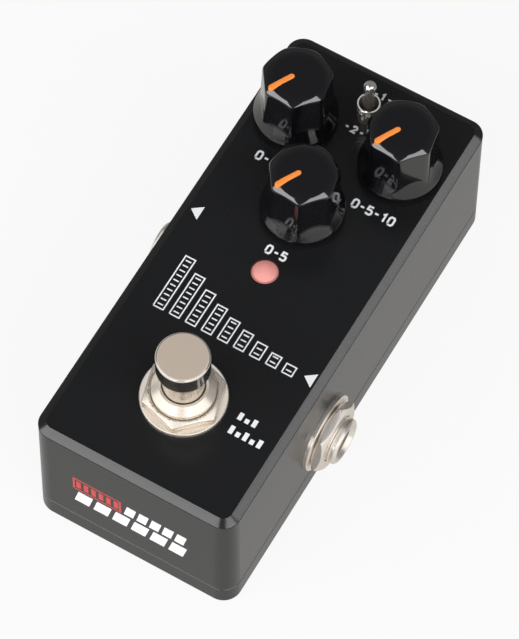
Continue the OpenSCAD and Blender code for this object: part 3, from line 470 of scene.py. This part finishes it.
# Pointer bar: a flat oval section carried along the knob's radius, its width closing in round ends, its
# top level and its underside sunk below the knob's flat and shoulder
def pointerGrid(centre, look, knob):
    half = look["width"] / 2
    turn = np.radians(knob["turn"])
    ends = look["endRows"]
    sweep = np.linspace(look["endGap"], np.pi - look["endGap"], 2 * ends + 1)
    along = np.concatenate([look["inner"] - half * np.cos(sweep[:ends + 1]),
                            np.linspace(look["inner"], look["outer"], look["middleRows"])[1:-1],
                            look["outer"] - half * np.cos(sweep[ends:])])
    past = np.maximum(np.maximum(look["inner"] - along, along - look["outer"]), 0)
    wide = np.sqrt(np.maximum(half ** 2 - past ** 2, 0))
    ring = np.arange(look["columns"]) * tau / look["columns"]
    across = wide[:, None] * pressed(np.cos(ring), look["square"])[None, :]
    lift = 0.5 + 0.5 * pressed(np.sin(ring), look["square"])
    reach = np.hypot(along[:, None], across)
    over = np.clip(reach - knob["flat"], 0, 0.95 * knob["shoulder"])  # stays on the shoulder's arc
    low = knob["height"] - knob["shoulder"] + np.sqrt(knob["shoulder"] ** 2 - over ** 2) - look["depth"]
    z = low + (knob["height"] + look["rise"] - low) * lift[None, :]
    x = along[:, None] * np.cos(turn) - across * np.sin(turn)
    y = along[:, None] * np.sin(turn) + across * np.cos(turn)
    return np.array(centre) + np.stack([x, y, z], -1)


for side in ("left", "right", "centre"):
    centre = (*middleOf(side + "_knob")[:2], panelZ)
    makePiece(side + "KnobCap", [knobGrid(centre, knobLook)], "knobGloss", side + "_knob",
              [side + "_knob"])
    makePiece(side + "KnobPointer", [pointerGrid(centre, pointerLook, knobLook)], "pointerOrange",
              side + "_knob", [side + "_pointer"])
print("knobs built")

nutLook = {"sides": 6, "perSide": 24, "soft": 0.05, "face": 0.965, "cone": 30, "band": 0.5, "bandGap": 0.06,
           "lip": 0.3, "lead": 0.2, "leadTop": 0.25, "round": 0.04}


# Hexagon nut: the six-sided radius cut by a shallow cone at each end, and a chamfered bore
def nutGrid(wide, thick, bore, turn, centre, axes):
    look = nutLook
    angle = cornerAngles(look["sides"], turn, look["perSide"])
    flats = polygonRadius(angle, look["sides"], turn, wide / np.sqrt(3), look["soft"])
    band, gap = look["band"], look["band"] + look["bandGap"]
    z = stations((0, band, 14), (gap, thick - gap, 6), (thick - band, thick, 14))
    face = wide / 2 * look["face"]
    cone = face + np.minimum(z, thick - z) / np.tan(np.radians(look["cone"]))
    outer = softMin(flats[None, :], cone[:, None], look["soft"])
    lip, lead, rounding = face - look["lip"], look["lead"], look["round"]
    inner = roundProfile([(lip, thick, 0), (bore + look["leadTop"], thick, rounding),
                          (bore, thick - lead, rounding), (bore, lead, rounding), (bore + lead, 0, rounding),
                          (lip, 0, 0)], closed=False)
    reach = np.concatenate([outer, allRound(inner[:, 0], angle)])
    return turned(reach, np.concatenate([z, inner[:, 1]]), centre, axes, angle=angle)


# Washer: a flat ring with rounded rims
def washerGrid(outer, bore, thick, centre, axes):
    profile = roundProfile([(outer, 0, 0.05), (outer, thick, 0.2), (bore, thick, 0.08), (bore, 0, 0.08)])
    return turned(*profile.T, centre, axes, 128)


# Foot switch
footLook = {"washer": {"outer": 7.95, "bore": 5.95, "thick": 0.9},
            "nut": {"wide": 13.4, "thick": 2.0, "bore": 5.95, "turn": 44.5},
            "bush": (5.85, 5.0, 1.4), "bore": 3.93, "stem": 3.8, "cap": (4.9, 15.9, 4.2, 0.45),
            "collar": (4.6, 1.6), "columns": 128}
footSpot = (footCentre[0], footCentre[1], panelZ)
footSeat = (footCentre[0], footCentre[1], panelZ + footLook["washer"]["thick"])
makePiece("footWasher", [washerGrid(**footLook["washer"], centre=footSpot, axes=upAxes)], "turnedNickel",
          "case", ["foot_washer"], ringRows=True)
makePiece("footNut", [nutGrid(**footLook["nut"], centre=footSeat, axes=upAxes)], "turnedNickel", "case",
          ["foot_nut"], ringRows=True)


# Bush: a tube with a wide chamfer at its mouth
def footBushProfile(look, low):
    radius, top, cut = look["bush"]
    return roundProfile([(radius, low, 0.1), (radius, top - cut, 0.25), (radius - cut, top, 0.2),
                         (look["bore"], top, 0.12), (look["bore"], low, 0.05)])


# Button: a collar that the bush holds back, a stem and a cap with a rounded rim
def footButtonProfile(look, low):
    radius, top, thick, rounding = look["cap"]
    collar, collarThick = look["collar"]
    stem = look["stem"]
    return roundProfile([(0.5, low, 0), (collar, low, 0.1), (collar, low + collarThick, 0.1),
                         (stem, low + collarThick, 0.05), (stem, top - thick, 0.08),
                         (radius, top - thick, 0.07), (radius, top, rounding), (0.5, top, 0)],
                        closed=False, steps=7)


bushProfile = footBushProfile(footLook, boxOf("foot_bush")[0][2] - panelZ)
makePiece("footBush", [turned(*bushProfile.T, footSpot, cols=footLook["columns"])], "turnedNickel", "case",
          ["foot_bush"], ringRows=True)
buttonProfile = footButtonProfile(footLook, boxOf("foot_button")[0][2] - panelZ)
capFlatRow = int(np.argmax(buttonProfile[:, 1] > footLook["cap"][1] - 0.002))  # first row on the level top
makePiece("footCap", [turned(*buttonProfile.T, footSpot, cols=footLook["columns"])], "polishedNickel",
          "foot_button", ["foot_button"], upper=("capTopNickel", capFlatRow))

springLook = {"wire": 0.3, "outer": 4.1, "turns": 6, "rings": 36, "sides": 12, "travel": 2.5}


# Return spring: a wire whose middle line climbs evenly round a circle
def springGrid(look, centre, low, high):
    wire, turns = look["wire"], look["turns"]
    coil = look["outer"] - wire
    rise = high - low - 2 * wire
    turn = np.linspace(0, tau * turns, turns * look["rings"] + 1)[:, None]
    around = -np.arange(look["sides"])[None, :] * tau / look["sides"]
    tilt = np.arctan2(rise / turns, tau * coil)
    reach, up = coil + wire * np.cos(around), wire * np.sin(around)
    return np.stack([centre[0] + reach * np.cos(turn) + up * np.sin(tilt) * np.sin(turn),
                     centre[1] + reach * np.sin(turn) - up * np.sin(tilt) * np.cos(turn),
                     low + wire + rise * turn / (tau * turns) + up * np.cos(tilt)], -1)


springLow, springHigh = [corner[2] for corner in boxOf("foot_spring")]
spring = makePiece("footSpring", [springGrid(springLook, footCentre, springLow, springHigh)], "steel", "case",
                   ["foot_spring"])
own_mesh(spring)
print("foot switch built")

# Toggle
toggleLook = {"bush": (2.2, 4.6), "mouth": 1.85, "throat": (1.09, 1.4), "socket": (1.35, 0.84), "low": -2.0,
              "groove": 0.08, "grooveStart": 1.5, "groovePitch": 0.14, "grooveTurns": 9,
              "ball": 1.3, "neck": (0.7, 0.85, 1.05), "tip": (1.2, 10.2), "tail": 3.6, "pivot": -0.2}
toggleSpot = (*middleOf("toggle_bush")[:2], panelZ)


# Bush: a tube with shallow grooves near its top, and a throat that narrows above the lever's ball
def toggleBushProfile(look):
    radius, top = look["bush"]
    low, socket = look["low"], look["socket"]
    grooveZ = top - look["grooveStart"] + look["groovePitch"] * np.arange(look["grooveTurns"])
    grooves = [(radius - look["groove"] * (i % 2), z, 0.02) for i, z in enumerate(grooveZ)]
    inside = [(look["mouth"], top, 0.06), (*look["throat"], 0.05), (*socket, 0.05), (socket[0], low, 0.05)]
    return roundProfile([(radius, low, 0.05), *grooves, (radius, top, 0.12), *inside])


# Lever: a tail, a ball, a neck that widens upward and a round tip, turned round one axis
def leverProfile(look):
    pivot, ball = look["pivot"], look["ball"]
    neck, neckMiddle, neckTop = look["neck"]
    tip, tipZ = look["tip"]
    mouthZ = look["bush"][1]
    tailZ = pivot - look["tail"]
    lower = np.linspace(np.arcsin(neck / ball), np.pi - np.arcsin(neck / ball), 16)
    ballArc = np.stack([ball * np.sin(lower), pivot - ball * np.cos(lower)], 1)
    upper = np.linspace(np.arcsin(neckTop / tip), np.pi - 0.05, 22)
    tipArc = np.stack([tip * np.sin(upper), tipZ - tip * np.cos(upper)], 1)
    tail = [(0.1, tailZ), (neck - 0.1, tailZ), (neck, tailZ + 0.1)]
    return np.array([*tail, *ballArc, (neckMiddle, mouthZ), *tipArc])


makePiece("toggleBush", [turned(*toggleBushProfile(toggleLook).T, toggleSpot)], "chrome", "case",
          ["toggle_bush"], ringRows=True)
makePiece("toggleStick", [turned(*leverProfile(toggleLook).T, toggleSpot, cols=64)], "chrome", "toggle_lever",
          ["toggle_lever"])
print("toggle built")

# Lamp
lampLook = {"radius": 2.45, "lens": 2.17, "step": 0.4, "dome": 1.0, "flange": (3.0, 1.0), "body": 3.0,
            "panel": 2.0}
lampSpot = (*middleOf("lamp_lens")[:2], panelZ)


# Lens: a flange below the panel, a straight barrel, a small step and a shallow dome
def lampProfile(look):
    radius, lens, dome, step = look["radius"], look["lens"], look["dome"], look["step"]
    flange, flangeThick = look["flange"]
    ball = (lens ** 2 + dome ** 2) / (2 * dome)
    fall = np.linspace(np.arcsin(lens / ball), 0.02, 20)
    cap = np.stack([ball * np.sin(fall), dome - ball + ball * np.cos(fall)], 1)
    ceiling = -look["panel"]
    bodyZ, flangeZ = ceiling - look["body"], ceiling - flangeThick
    stem = roundProfile([(0.3, bodyZ, 0), (radius, bodyZ, 0.2), (radius, flangeZ, 0.05),
                         (flange, flangeZ, 0.1), (flange, ceiling, 0.1), (radius, ceiling, 0.05),
                         (radius, -step, 0.03), (lens, -step, 0.03), (lens, -0.05, 0)], closed=False)
    return np.concatenate([stem, cap])


makePiece("lampDome", [turned(*lampProfile(lampLook).T, lampSpot)], "lampLens", "case", ["lamp_lens"])
print("lamp built")

# Jacks
jackLook = {"washer": {"outer": 7.7, "bore": 4.6}, "washerThick": 0.7, "bed": 0.2,
            "nut": {"wide": 12.7, "thick": 2.1, "bore": 4.6, "turn": 11}, "bush": (4.5, 3.25), "lead": 0.45,
            "mouth": (0.45, 0.9), "pitch": 0.55, "thread": 0.12, "plain": 0.6, "runOut": 0.2,
            "rows": 150, "columns": 96}


# Threaded bush: the outer radius falls and rises along a helix that runs out before the end
def jackBushGrid(look, low, high, centre, axes):
    outer, bore = look["bush"]
    mouth, mouthDeep = look["mouth"]
    threadEnd = high - look["lead"]
    angle = np.arange(look["columns"]) * tau / look["columns"]
    z = np.linspace(low, threadEnd, look["rows"])
    wave = np.abs(((z[:, None] / look["pitch"] + angle[None, :] / tau) % 1) * 2 - 1)
    cut = np.clip((threadEnd - look["plain"] - z) / look["runOut"], 0, 1)
    thread = outer - look["thread"] * cut[:, None] * np.clip(wave * 1.5 - 0.25, 0, 1)  # flat crests and roots
    rim = roundProfile([(outer, threadEnd, 0), (outer - look["lead"], high, 0.1), (bore + mouth, high, 0.12),
                        (bore, high - mouthDeep, 0.1), (bore, low, 0.05), (outer, low, 0)], closed=False)
    rim = rim[1:-1]  # the thread has both end points
    reach = np.concatenate([thread, allRound(rim[:, 0], angle)])
    return turned(reach, np.concatenate([z, rim[:, 1]]), centre, axes, angle=angle)


for side, sign in (("input", 1), ("output", -1)):
    axes = np.array([(0, sign, 0), (0, 0, 1), (sign, 0, 0)])
    y, z = middleOf(side + "_jack_washer")[1:]
    wallX = min(sign * corner[0] for corner in boxOf(side + "_jack_washer"))
    bushEnds = sorted(sign * corner[0] for corner in boxOf(side + "_jack_bush"))
    bed, thick = jackLook["bed"], jackLook["washerThick"]
    base = (sign * (wallX - bed), y, z)
    seat = (sign * (wallX + thick), y, z)
    grids = {"Washer": washerGrid(**jackLook["washer"], thick=thick + bed, centre=base, axes=axes),
             "Nut": nutGrid(**jackLook["nut"], centre=seat, axes=axes),
             "Bush": jackBushGrid(jackLook, *bushEnds, (0, y, z), axes)}
    for kind, grid in grids.items():
        makePiece(side + "Jack" + kind, [grid], "satinNickel", "case",
                  [side + "_jack_" + kind.lower()], ringRows=True)
print("jacks built")

# Print: the ink lies a little in and over the paint; the walls lean out by draft from the crease to the floor
printLook = {"sink": 0.02, "rise": 0.025, "crease": 31.2, "draft": 0.36, "front": 47.0}


def wallLean(z):
    return printLook["draft"] * (1 - z / printLook["crease"])


def onPanel(u, v, h):
    return np.stack([u, v, panelZ + h], -1)


def onFront(u, v, h):
    return np.stack([u, -printLook["front"] - wallLean(v) - h, v], -1)


# Ink stroke: a thin four-sided section carried along a path, its sides square to the path or along a
# given direction, its width the same throughout or closing to a point
def inkGrid(path, half, face, across=None):
    path = np.array(path, float)
    half = np.broadcast_to(np.array(half, float), len(path))
    if across is None:
        step = np.diff(path, axis=0)
        step = step / np.linalg.norm(step, axis=1, keepdims=True)
        blend = np.concatenate([step[:1], step[:-1] + step[1:], step[-1:]])
        blend = blend / np.linalg.norm(blend, axis=1, keepdims=True)
        reference = np.concatenate([step[:1], step[1:], step[-1:]])
        widen = 1 / np.clip((blend * reference).sum(1), 0.5, 1)
        normal = np.stack([-blend[:, 1], blend[:, 0]], 1) * widen[:, None]
    else:
        normal = np.broadcast_to(np.array(across, float), path.shape)
    left, right = path + normal * half[:, None], path - normal * half[:, None]
    flat = np.stack([left, right, right, left], 1)
    height = np.array([-printLook["sink"], -printLook["sink"], printLook["rise"], printLook["rise"]])
    return face(flat[..., 0], flat[..., 1], np.broadcast_to(height, flat.shape[:2]))


# Strokes of the numerals, one high and about 0.6 wide
numerals = {
    "0": [(0.1, 0.02), (0, 0.2), (0, 0.8), (0.14, 1), (0.46, 1), (0.6, 0.8), (0.6, 0.2), (0.46, 0), (0.14, 0),
          (0.02, 0.16)],
    "1": [(0.1, 0.78), (0.36, 1), (0.36, 0)],
    "2": [(0, 0.78), (0.14, 1), (0.46, 1), (0.6, 0.8), (0.6, 0.62), (0.02, 0.03), (0.64, 0)],
    "5": [(0.58, 1), (0.06, 1), (0.03, 0.58), (0.44, 0.6), (0.6, 0.45), (0.6, 0.16), (0.46, 0), (0.12, 0),
          (0, 0.14)],
    "-": [(0.08, 0.5), (0.52, 0.5)],
}
# Labels are (numbers, start, height, pitch); block rows are (start, height, count), every other block lower
panelLook = {
    "stroke": 0.2,
    "labels": [("0-10", (-13.5, 19.75), 1.65, 1.5), ("0-5-10", (6.5, 19.85), 1.65, 1.48),
               ("0-5", (-2.25, 3.85), 1.6, 1.5), ("-1-", (-1.3, 41.9), 1.3, 1.4),
               ("-2-", (-2.6, 33.3), 1.3, 1.5)],
    "blockRows": [((10.6, -27.5), 1.5, 3), ((10.5, -30.6), 1.65, 5)], "blockPitch": 1.42, "blockHalf": 0.42,
    "lower": 0.6, "arrows": [(-17.1, 4.8), (17.3, -14.2)], "arrowHalf": (1.0, 1.5), "arrowPoint": 0.02}


# Plain numbers in a row, each numeral a stroke scaled to the height
def numberGrids(label, start, height, pitch):
    places = [np.array(start) + (i * pitch, 0) for i in range(len(label))]
    strokes = [place + np.array(numerals[mark]) * height for place, mark in zip(places, label)]
    return [inkGrid(stroke, panelLook["stroke"], onPanel) for stroke in strokes]


def blockGrids(start, height, count):
    sizes = [height * (panelLook["lower"] if i % 2 else 1) for i in range(count)]
    places = [start[0] + i * panelLook["blockPitch"] for i in range(count)]
    return [inkGrid([(x, start[1]), (x, start[1] + size)], panelLook["blockHalf"], onPanel, (1, 0))
            for x, size in zip(places, sizes)]


labelGrids = [grid for label in panelLook["labels"] for grid in numberGrids(*label)]
labelGrids += [grid for row in panelLook["blockRows"] for grid in blockGrids(*row)]
arrowLong, arrowWide = panelLook["arrowHalf"]
for x, y in panelLook["arrows"]:
    labelGrids.append(inkGrid([(x + arrowLong, y), (x - arrowLong, y)], [arrowWide, panelLook["arrowPoint"]],
                              onPanel, (0, 1)))
makePiece("panelNumbers", labelGrids, "whiteInk", "case", smooth=False)

# Level bars: outlined bars that get lower from left to right, with short rungs inside
levelLook = {"left": -14.0, "base": -15.5, "tall": 11.5, "count": 9, "pitch": 3.3, "width": 2.0, "decay": 0.8,
             "stroke": 0.13, "rungStart": 0.8, "rungPitch": 1.1, "rungInset": 0.45, "join": 0.01}


def levelGrids(look, i):
    left, base, rungPitch = look["left"] + i * look["pitch"], look["base"], look["rungPitch"]
    right = left + look["width"]
    tall = look["tall"] * look["decay"] ** i
    top = base + tall
    loop = [(left + look["join"], base), (left, top), (right, top), (right, base), (left, base)]
    rungs = [base + look["rungStart"] + j * rungPitch for j in range(int(tall / rungPitch))]
    inset = look["rungInset"]
    paths = [loop] + [[(left + inset, y), (right - inset, y)] for y in rungs]
    return [inkGrid(path, look["stroke"], onPanel) for path in paths]


barGrids = [grid for i in range(levelLook["count"]) for grid in levelGrids(levelLook, i)]
makePiece("levelBars", barGrids, "whiteInk", "case", smooth=False)

# Front mark: a red framed block of bars, a row of slanted white blocks beside it and a longer row below
frontLook = {
    "frame": ((-11.9, 16.2), (-2.3, 20.2)), "stroke": 0.2,
    "redBars": {"x": -10.9, "low": 16.9, "high": 19.5, "pitch": 1.55, "slant": 0, "half": 0.48, "count": 6},
    "upper": {"x": -0.6, "low": 16.3, "high": 19.8, "pitch": 2.6, "slant": 0.7, "half": 0.95, "count": 5},
    "lower": {"x": -10.4, "low": 11.3, "high": 15.3, "pitch": 3.9, "slant": 0.9, "half": 1.5, "count": 6}}


def frontRow(x, low, high, pitch, slant, half, count):
    places = [x + i * pitch for i in range(count)]
    return [inkGrid([(place, low), (place + slant, high)], half, onFront, (1, 0)) for place in places]


(frameLeft, frameLow), (frameRight, frameHigh) = frontLook["frame"]
redFrame = [(frameLeft, frameLow), (frameLeft, frameHigh), (frameRight, frameHigh), (frameRight, frameLow),
            (frameLeft, frameLow)]
redGrids = [inkGrid(redFrame, frontLook["stroke"], onFront)] + frontRow(**frontLook["redBars"])
makePiece("frontRedMark", redGrids, "redInk", "case", smooth=False)
whiteGrids = frontRow(**frontLook["upper"]) + frontRow(**frontLook["lower"])
makePiece("frontWhiteMark", whiteGrids, "whiteInk", "case", smooth=False)

# Painted shade line round the walls at the crease below the bevel
creaseShadowLook = {"half": (20.25, 47.0), "corner": 3.2, "height": 31.0, "line": 0.17, "steps": 9}


# Painted crease shadow: a thin dark flat section carried round the walls below the bevel, a quarter turn at
# each corner, standing in for the shade in the crease
def creaseShadowGrid(look):
    quarter = np.repeat(np.arange(4), look["steps"])
    angle = (quarter + np.tile(np.linspace(0, 1, look["steps"]), 4)) * tau / 4
    core = np.array(look["half"]) - look["corner"]
    centre = core * np.array([(1, 1), (-1, 1), (-1, -1), (1, -1)])[quarter]
    out = np.array([-printLook["sink"], printLook["rise"], printLook["rise"], -printLook["sink"]])
    z = look["height"] + look["line"] * np.array([1, 1, -1, -1])
    reach = look["corner"] + wallLean(z) + out
    ways = np.stack([np.cos(angle), np.sin(angle)], 1)
    spot = centre[:, None, :] + reach[None, :, None] * ways[:, None, :]
    return np.concatenate([spot, np.broadcast_to(z[None, :, None], (*spot.shape[:2], 1))], -1)


# The painted crease shadow, laid on the walls as a dark piece
makePiece("wallEdgeLine", [creaseShadowGrid(creaseShadowLook)], "paintedCreaseShade", "case", ringRows=True,
          smooth=False)
print("print laid on")


# Floor, world and lights
def oblong(wide, tall):
    return [(-wide, -tall), (wide, -tall), (wide, tall), (-wide, tall)]


def bareMaterial(name):
    mat = bpy.data.materials.new(name)
    mat.use_nodes = True
    mat.node_tree.nodes.clear()
    return mat, mat.node_tree


def finishMaterial(tree, shader):
    end = addNode(tree, "ShaderNodeOutputMaterial")
    tree.links.new(shader.outputs[0], end.inputs["Surface"])


# Half is in metres and the other lengths in millimetres; what shows in the gloss of the object is dimmer near
# it (reach, a painted shadow of the object on the floor), far away (end) and behind it (behind)
floorLook = {"half": 6, "drop": 0.05, "tone": 0.8, "share": 0.92, "seen": 0.975,
             "gloss": (1, 0.985, 0.945, 1), "near": 0.66, "far": 1.0, "reach": (12, 75), "end": (300, 800),
             "horizon": 0.2, "behind": (60, 100), "dark": 0.15}


# Floor: mostly its own even light where the camera or the gloss sees it, so that the shadow stays faint
def makeFloor(look):
    mesh = bpy.data.meshes.new("floor")
    corners = [(x, y, -look["drop"] * mm) for x, y in oblong(look["half"], look["half"])]
    mesh.from_pydata(corners, [], [(0, 1, 2, 3)])
    mat, tree = bareMaterial("floorWhite")
    diffuse = addNode(tree, "ShaderNodeBsdfDiffuse", {"Color": (*[look["tone"]] * 3, 1)})
    path = addNode(tree, "ShaderNodeLightPath").outputs
    seen = addMath(tree, "MAXIMUM", path["Is Camera Ray"], path["Is Glossy Ray"])
    share = addMath(tree, "MULTIPLY", seen, look["share"])
    front = addNode(tree, "ShaderNodeEmission", {"Color": (1, 1, 1, 1), "Strength": look["seen"]})
    place = addNode(tree, "ShaderNodeTexCoord").outputs["Object"]
    folded = addVector(tree, "ABSOLUTE", place).outputs[0]
    beside = addVector(tree, "SUBTRACT", folded, tuple(boxOf("enclosure")[1] * (mm, mm, 0))).outputs[0]
    beyond = addVector(tree, "MAXIMUM", beside, (0, 0, 0)).outputs[0]
    apart = addVector(tree, "LENGTH", beyond).outputs["Value"]
    # Painted shadow: the floor's gloss darkens towards the object, standing in for the shade it casts round
    # itself
    paintedShadowNear = addRange(tree, apart, look["reach"], look["near"], look["far"])
    fade = addRange(tree, apart, look["end"], 1.0, look["horizon"])
    y = addNode(tree, "ShaderNodeSeparateXYZ", {0: place}).outputs["Y"]
    rear = addRange(tree, y, look["behind"], 1.0, look["dark"])
    level = addMath(tree, "MULTIPLY", paintedShadowNear, addMath(tree, "MULTIPLY", fade, rear))
    mirrored = addNode(tree, "ShaderNodeEmission", {"Color": look["gloss"], "Strength": level})
    light = addNode(tree, "ShaderNodeMixShader", {0: path["Is Camera Ray"], 1: mirrored.outputs[0],
                                                  2: front.outputs[0]})
    mixed = addNode(tree, "ShaderNodeMixShader", {0: share, 1: diffuse.outputs[0], 2: light.outputs[0]})
    finishMaterial(tree, mixed)
    mesh.materials.append(mat)
    floor = bpy.data.objects.new("floor", mesh)
    scene.collection.objects.link(floor)


worldLook = {"level": (0.3, 0.3, 0.3, 1), "overhead": (0.19, 0.19, 0.20, 1), "overheadFrom": 0.8}


# World: a soft grey, dimmer overhead
def makeWorld(look):
    world = bpy.data.worlds.new("studio")
    world.use_nodes = True
    scene.world = world
    tree = world.node_tree
    tree.nodes.clear()
    coords = addNode(tree, "ShaderNodeTexCoord")
    parts = addNode(tree, "ShaderNodeSeparateXYZ", {0: coords.outputs["Generated"]})
    ramp = addNode(tree, "ShaderNodeValToRGB", {0: parts.outputs["Z"]})
    first, second = ramp.color_ramp.elements
    first.position, second.position = 0.0, look["overheadFrom"]
    first.color, second.color = look["level"], look["overhead"]
    back = addNode(tree, "ShaderNodeBackground", {"Color": ramp.outputs[0], "Strength": 1.0})
    end = addNode(tree, "ShaderNodeOutputWorld")
    tree.links.new(back.outputs[0], end.inputs["Surface"])


# Softbox: an area light for the diffuse surfaces
def makeSoftbox(name, azimuth, elevation, distance, size, power):
    right, up, back = facing(azimuth, elevation)
    data = bpy.data.lights.new(name, "AREA")
    data.shape = "RECTANGLE"
    data.size, data.size_y = size
    data.energy = power
    obj = bpy.data.objects.new(name, data)
    obj.matrix_world = placed(right, up, back, back * distance)
    obj.visible_glossy = False
    scene.collection.objects.link(obj)


# Card: a bright four-cornered sheet that only shows in the gloss of some pieces and hides nothing behind it;
# its corners are shares of the distance to the right and up
def makeCard(name, azimuth, elevation, distance, strength, pieces, corners):
    right, up, back = facing(azimuth, elevation)
    points = [distance * (back + x * right + y * up) for x, y in corners]
    mesh = bpy.data.meshes.new(name)
    mesh.from_pydata([tuple(point) for point in points], [], [(0, 1, 2, 3)])
    mat, tree = bareMaterial(name + "White")
    light = addNode(tree, "ShaderNodeEmission", {"Color": (1, 1, 1, 1), "Strength": strength})
    clear = addNode(tree, "ShaderNodeBsdfTransparent")
    finishMaterial(tree, addNode(tree, "ShaderNodeAddShader", {0: light.outputs[0], 1: clear.outputs[0]}))
    mesh.materials.append(mat)
    obj = bpy.data.objects.new(name, mesh)
    obj.visible_camera = False
    obj.visible_diffuse = False
    obj.visible_shadow = False
    scene.collection.objects.link(obj)
    receivers = bpy.data.collections.new(name + "Receivers")
    for piece in pieces:
        receivers.objects.link(piece)
    obj.light_linking.receiver_collection = receivers


# Lights and cards stand at an azimuth and elevation in degrees and a distance in metres
softboxes = [("leftBox", -24, 33, 1.2, (1.81, 0.87), 15.5), ("rightBox", 66, 36, 1.2, (1.44, 0.87), 12.3)]
toggleBush = bpy.data.objects["toggleBush"]
bodyPieces = [nodes["enclosure"], nodes["bottom_cover"]]
darkNames = ("leftKnobCap", "rightKnobCap", "centreKnobCap", "toggleBush", "toggleStick")
darkPieces = bodyPieces + [bpy.data.objects[name] for name in darkNames]
otherPieces = [obj for obj in scene.objects if obj.type == "MESH" and obj not in darkPieces]
cards = [
    ("leftCard", -28, 32, 1.2, 7.0, darkPieces, [(-0.62, -0.42), (1.0, -0.28), (0.33, 0.38), (-0.43, 0.35)]),
    ("rightCard", 66, 32, 1.2, 6.5, darkPieces, [(0.52, -0.42), (0.41, 0.35), (-0.18, 0.38), (-0.85, -0.28)]),
    ("sideCard", 118, 33, 1.2, 5.5, bodyPieces, oblong(0.2, 0.15)),
    ("leftSheet", -32, 31, 1.2, 1.0, otherPieces,
     [(-0.85, -0.45), (0.85, -0.45), (0.6, 0.48), (-0.7, 0.48)]),
    ("rightSheet", 72, 31, 1.2, 1.0, otherPieces,
     [(-0.75, -0.45), (0.75, -0.45), (0.6, 0.48), (-0.45, 0.48)]),
    ("middleSheet", 21, 31, 1.25, 0.5, otherPieces,
     [(-0.4, -0.45), (0.4, -0.45), (0.5, 0.48), (-0.5, 0.48)]),
    ("topSheet", 0, 90, 1.2, 0.65, otherPieces + [toggleBush], oblong(0.6, 0.6)),
]
for card in cards:
    makeCard(*card)
makeFloor(floorLook)
makeWorld(worldLook)
for softbox in softboxes:
    makeSoftbox(*softbox)
scene.view_settings.view_transform = "Standard"
print("stage set")
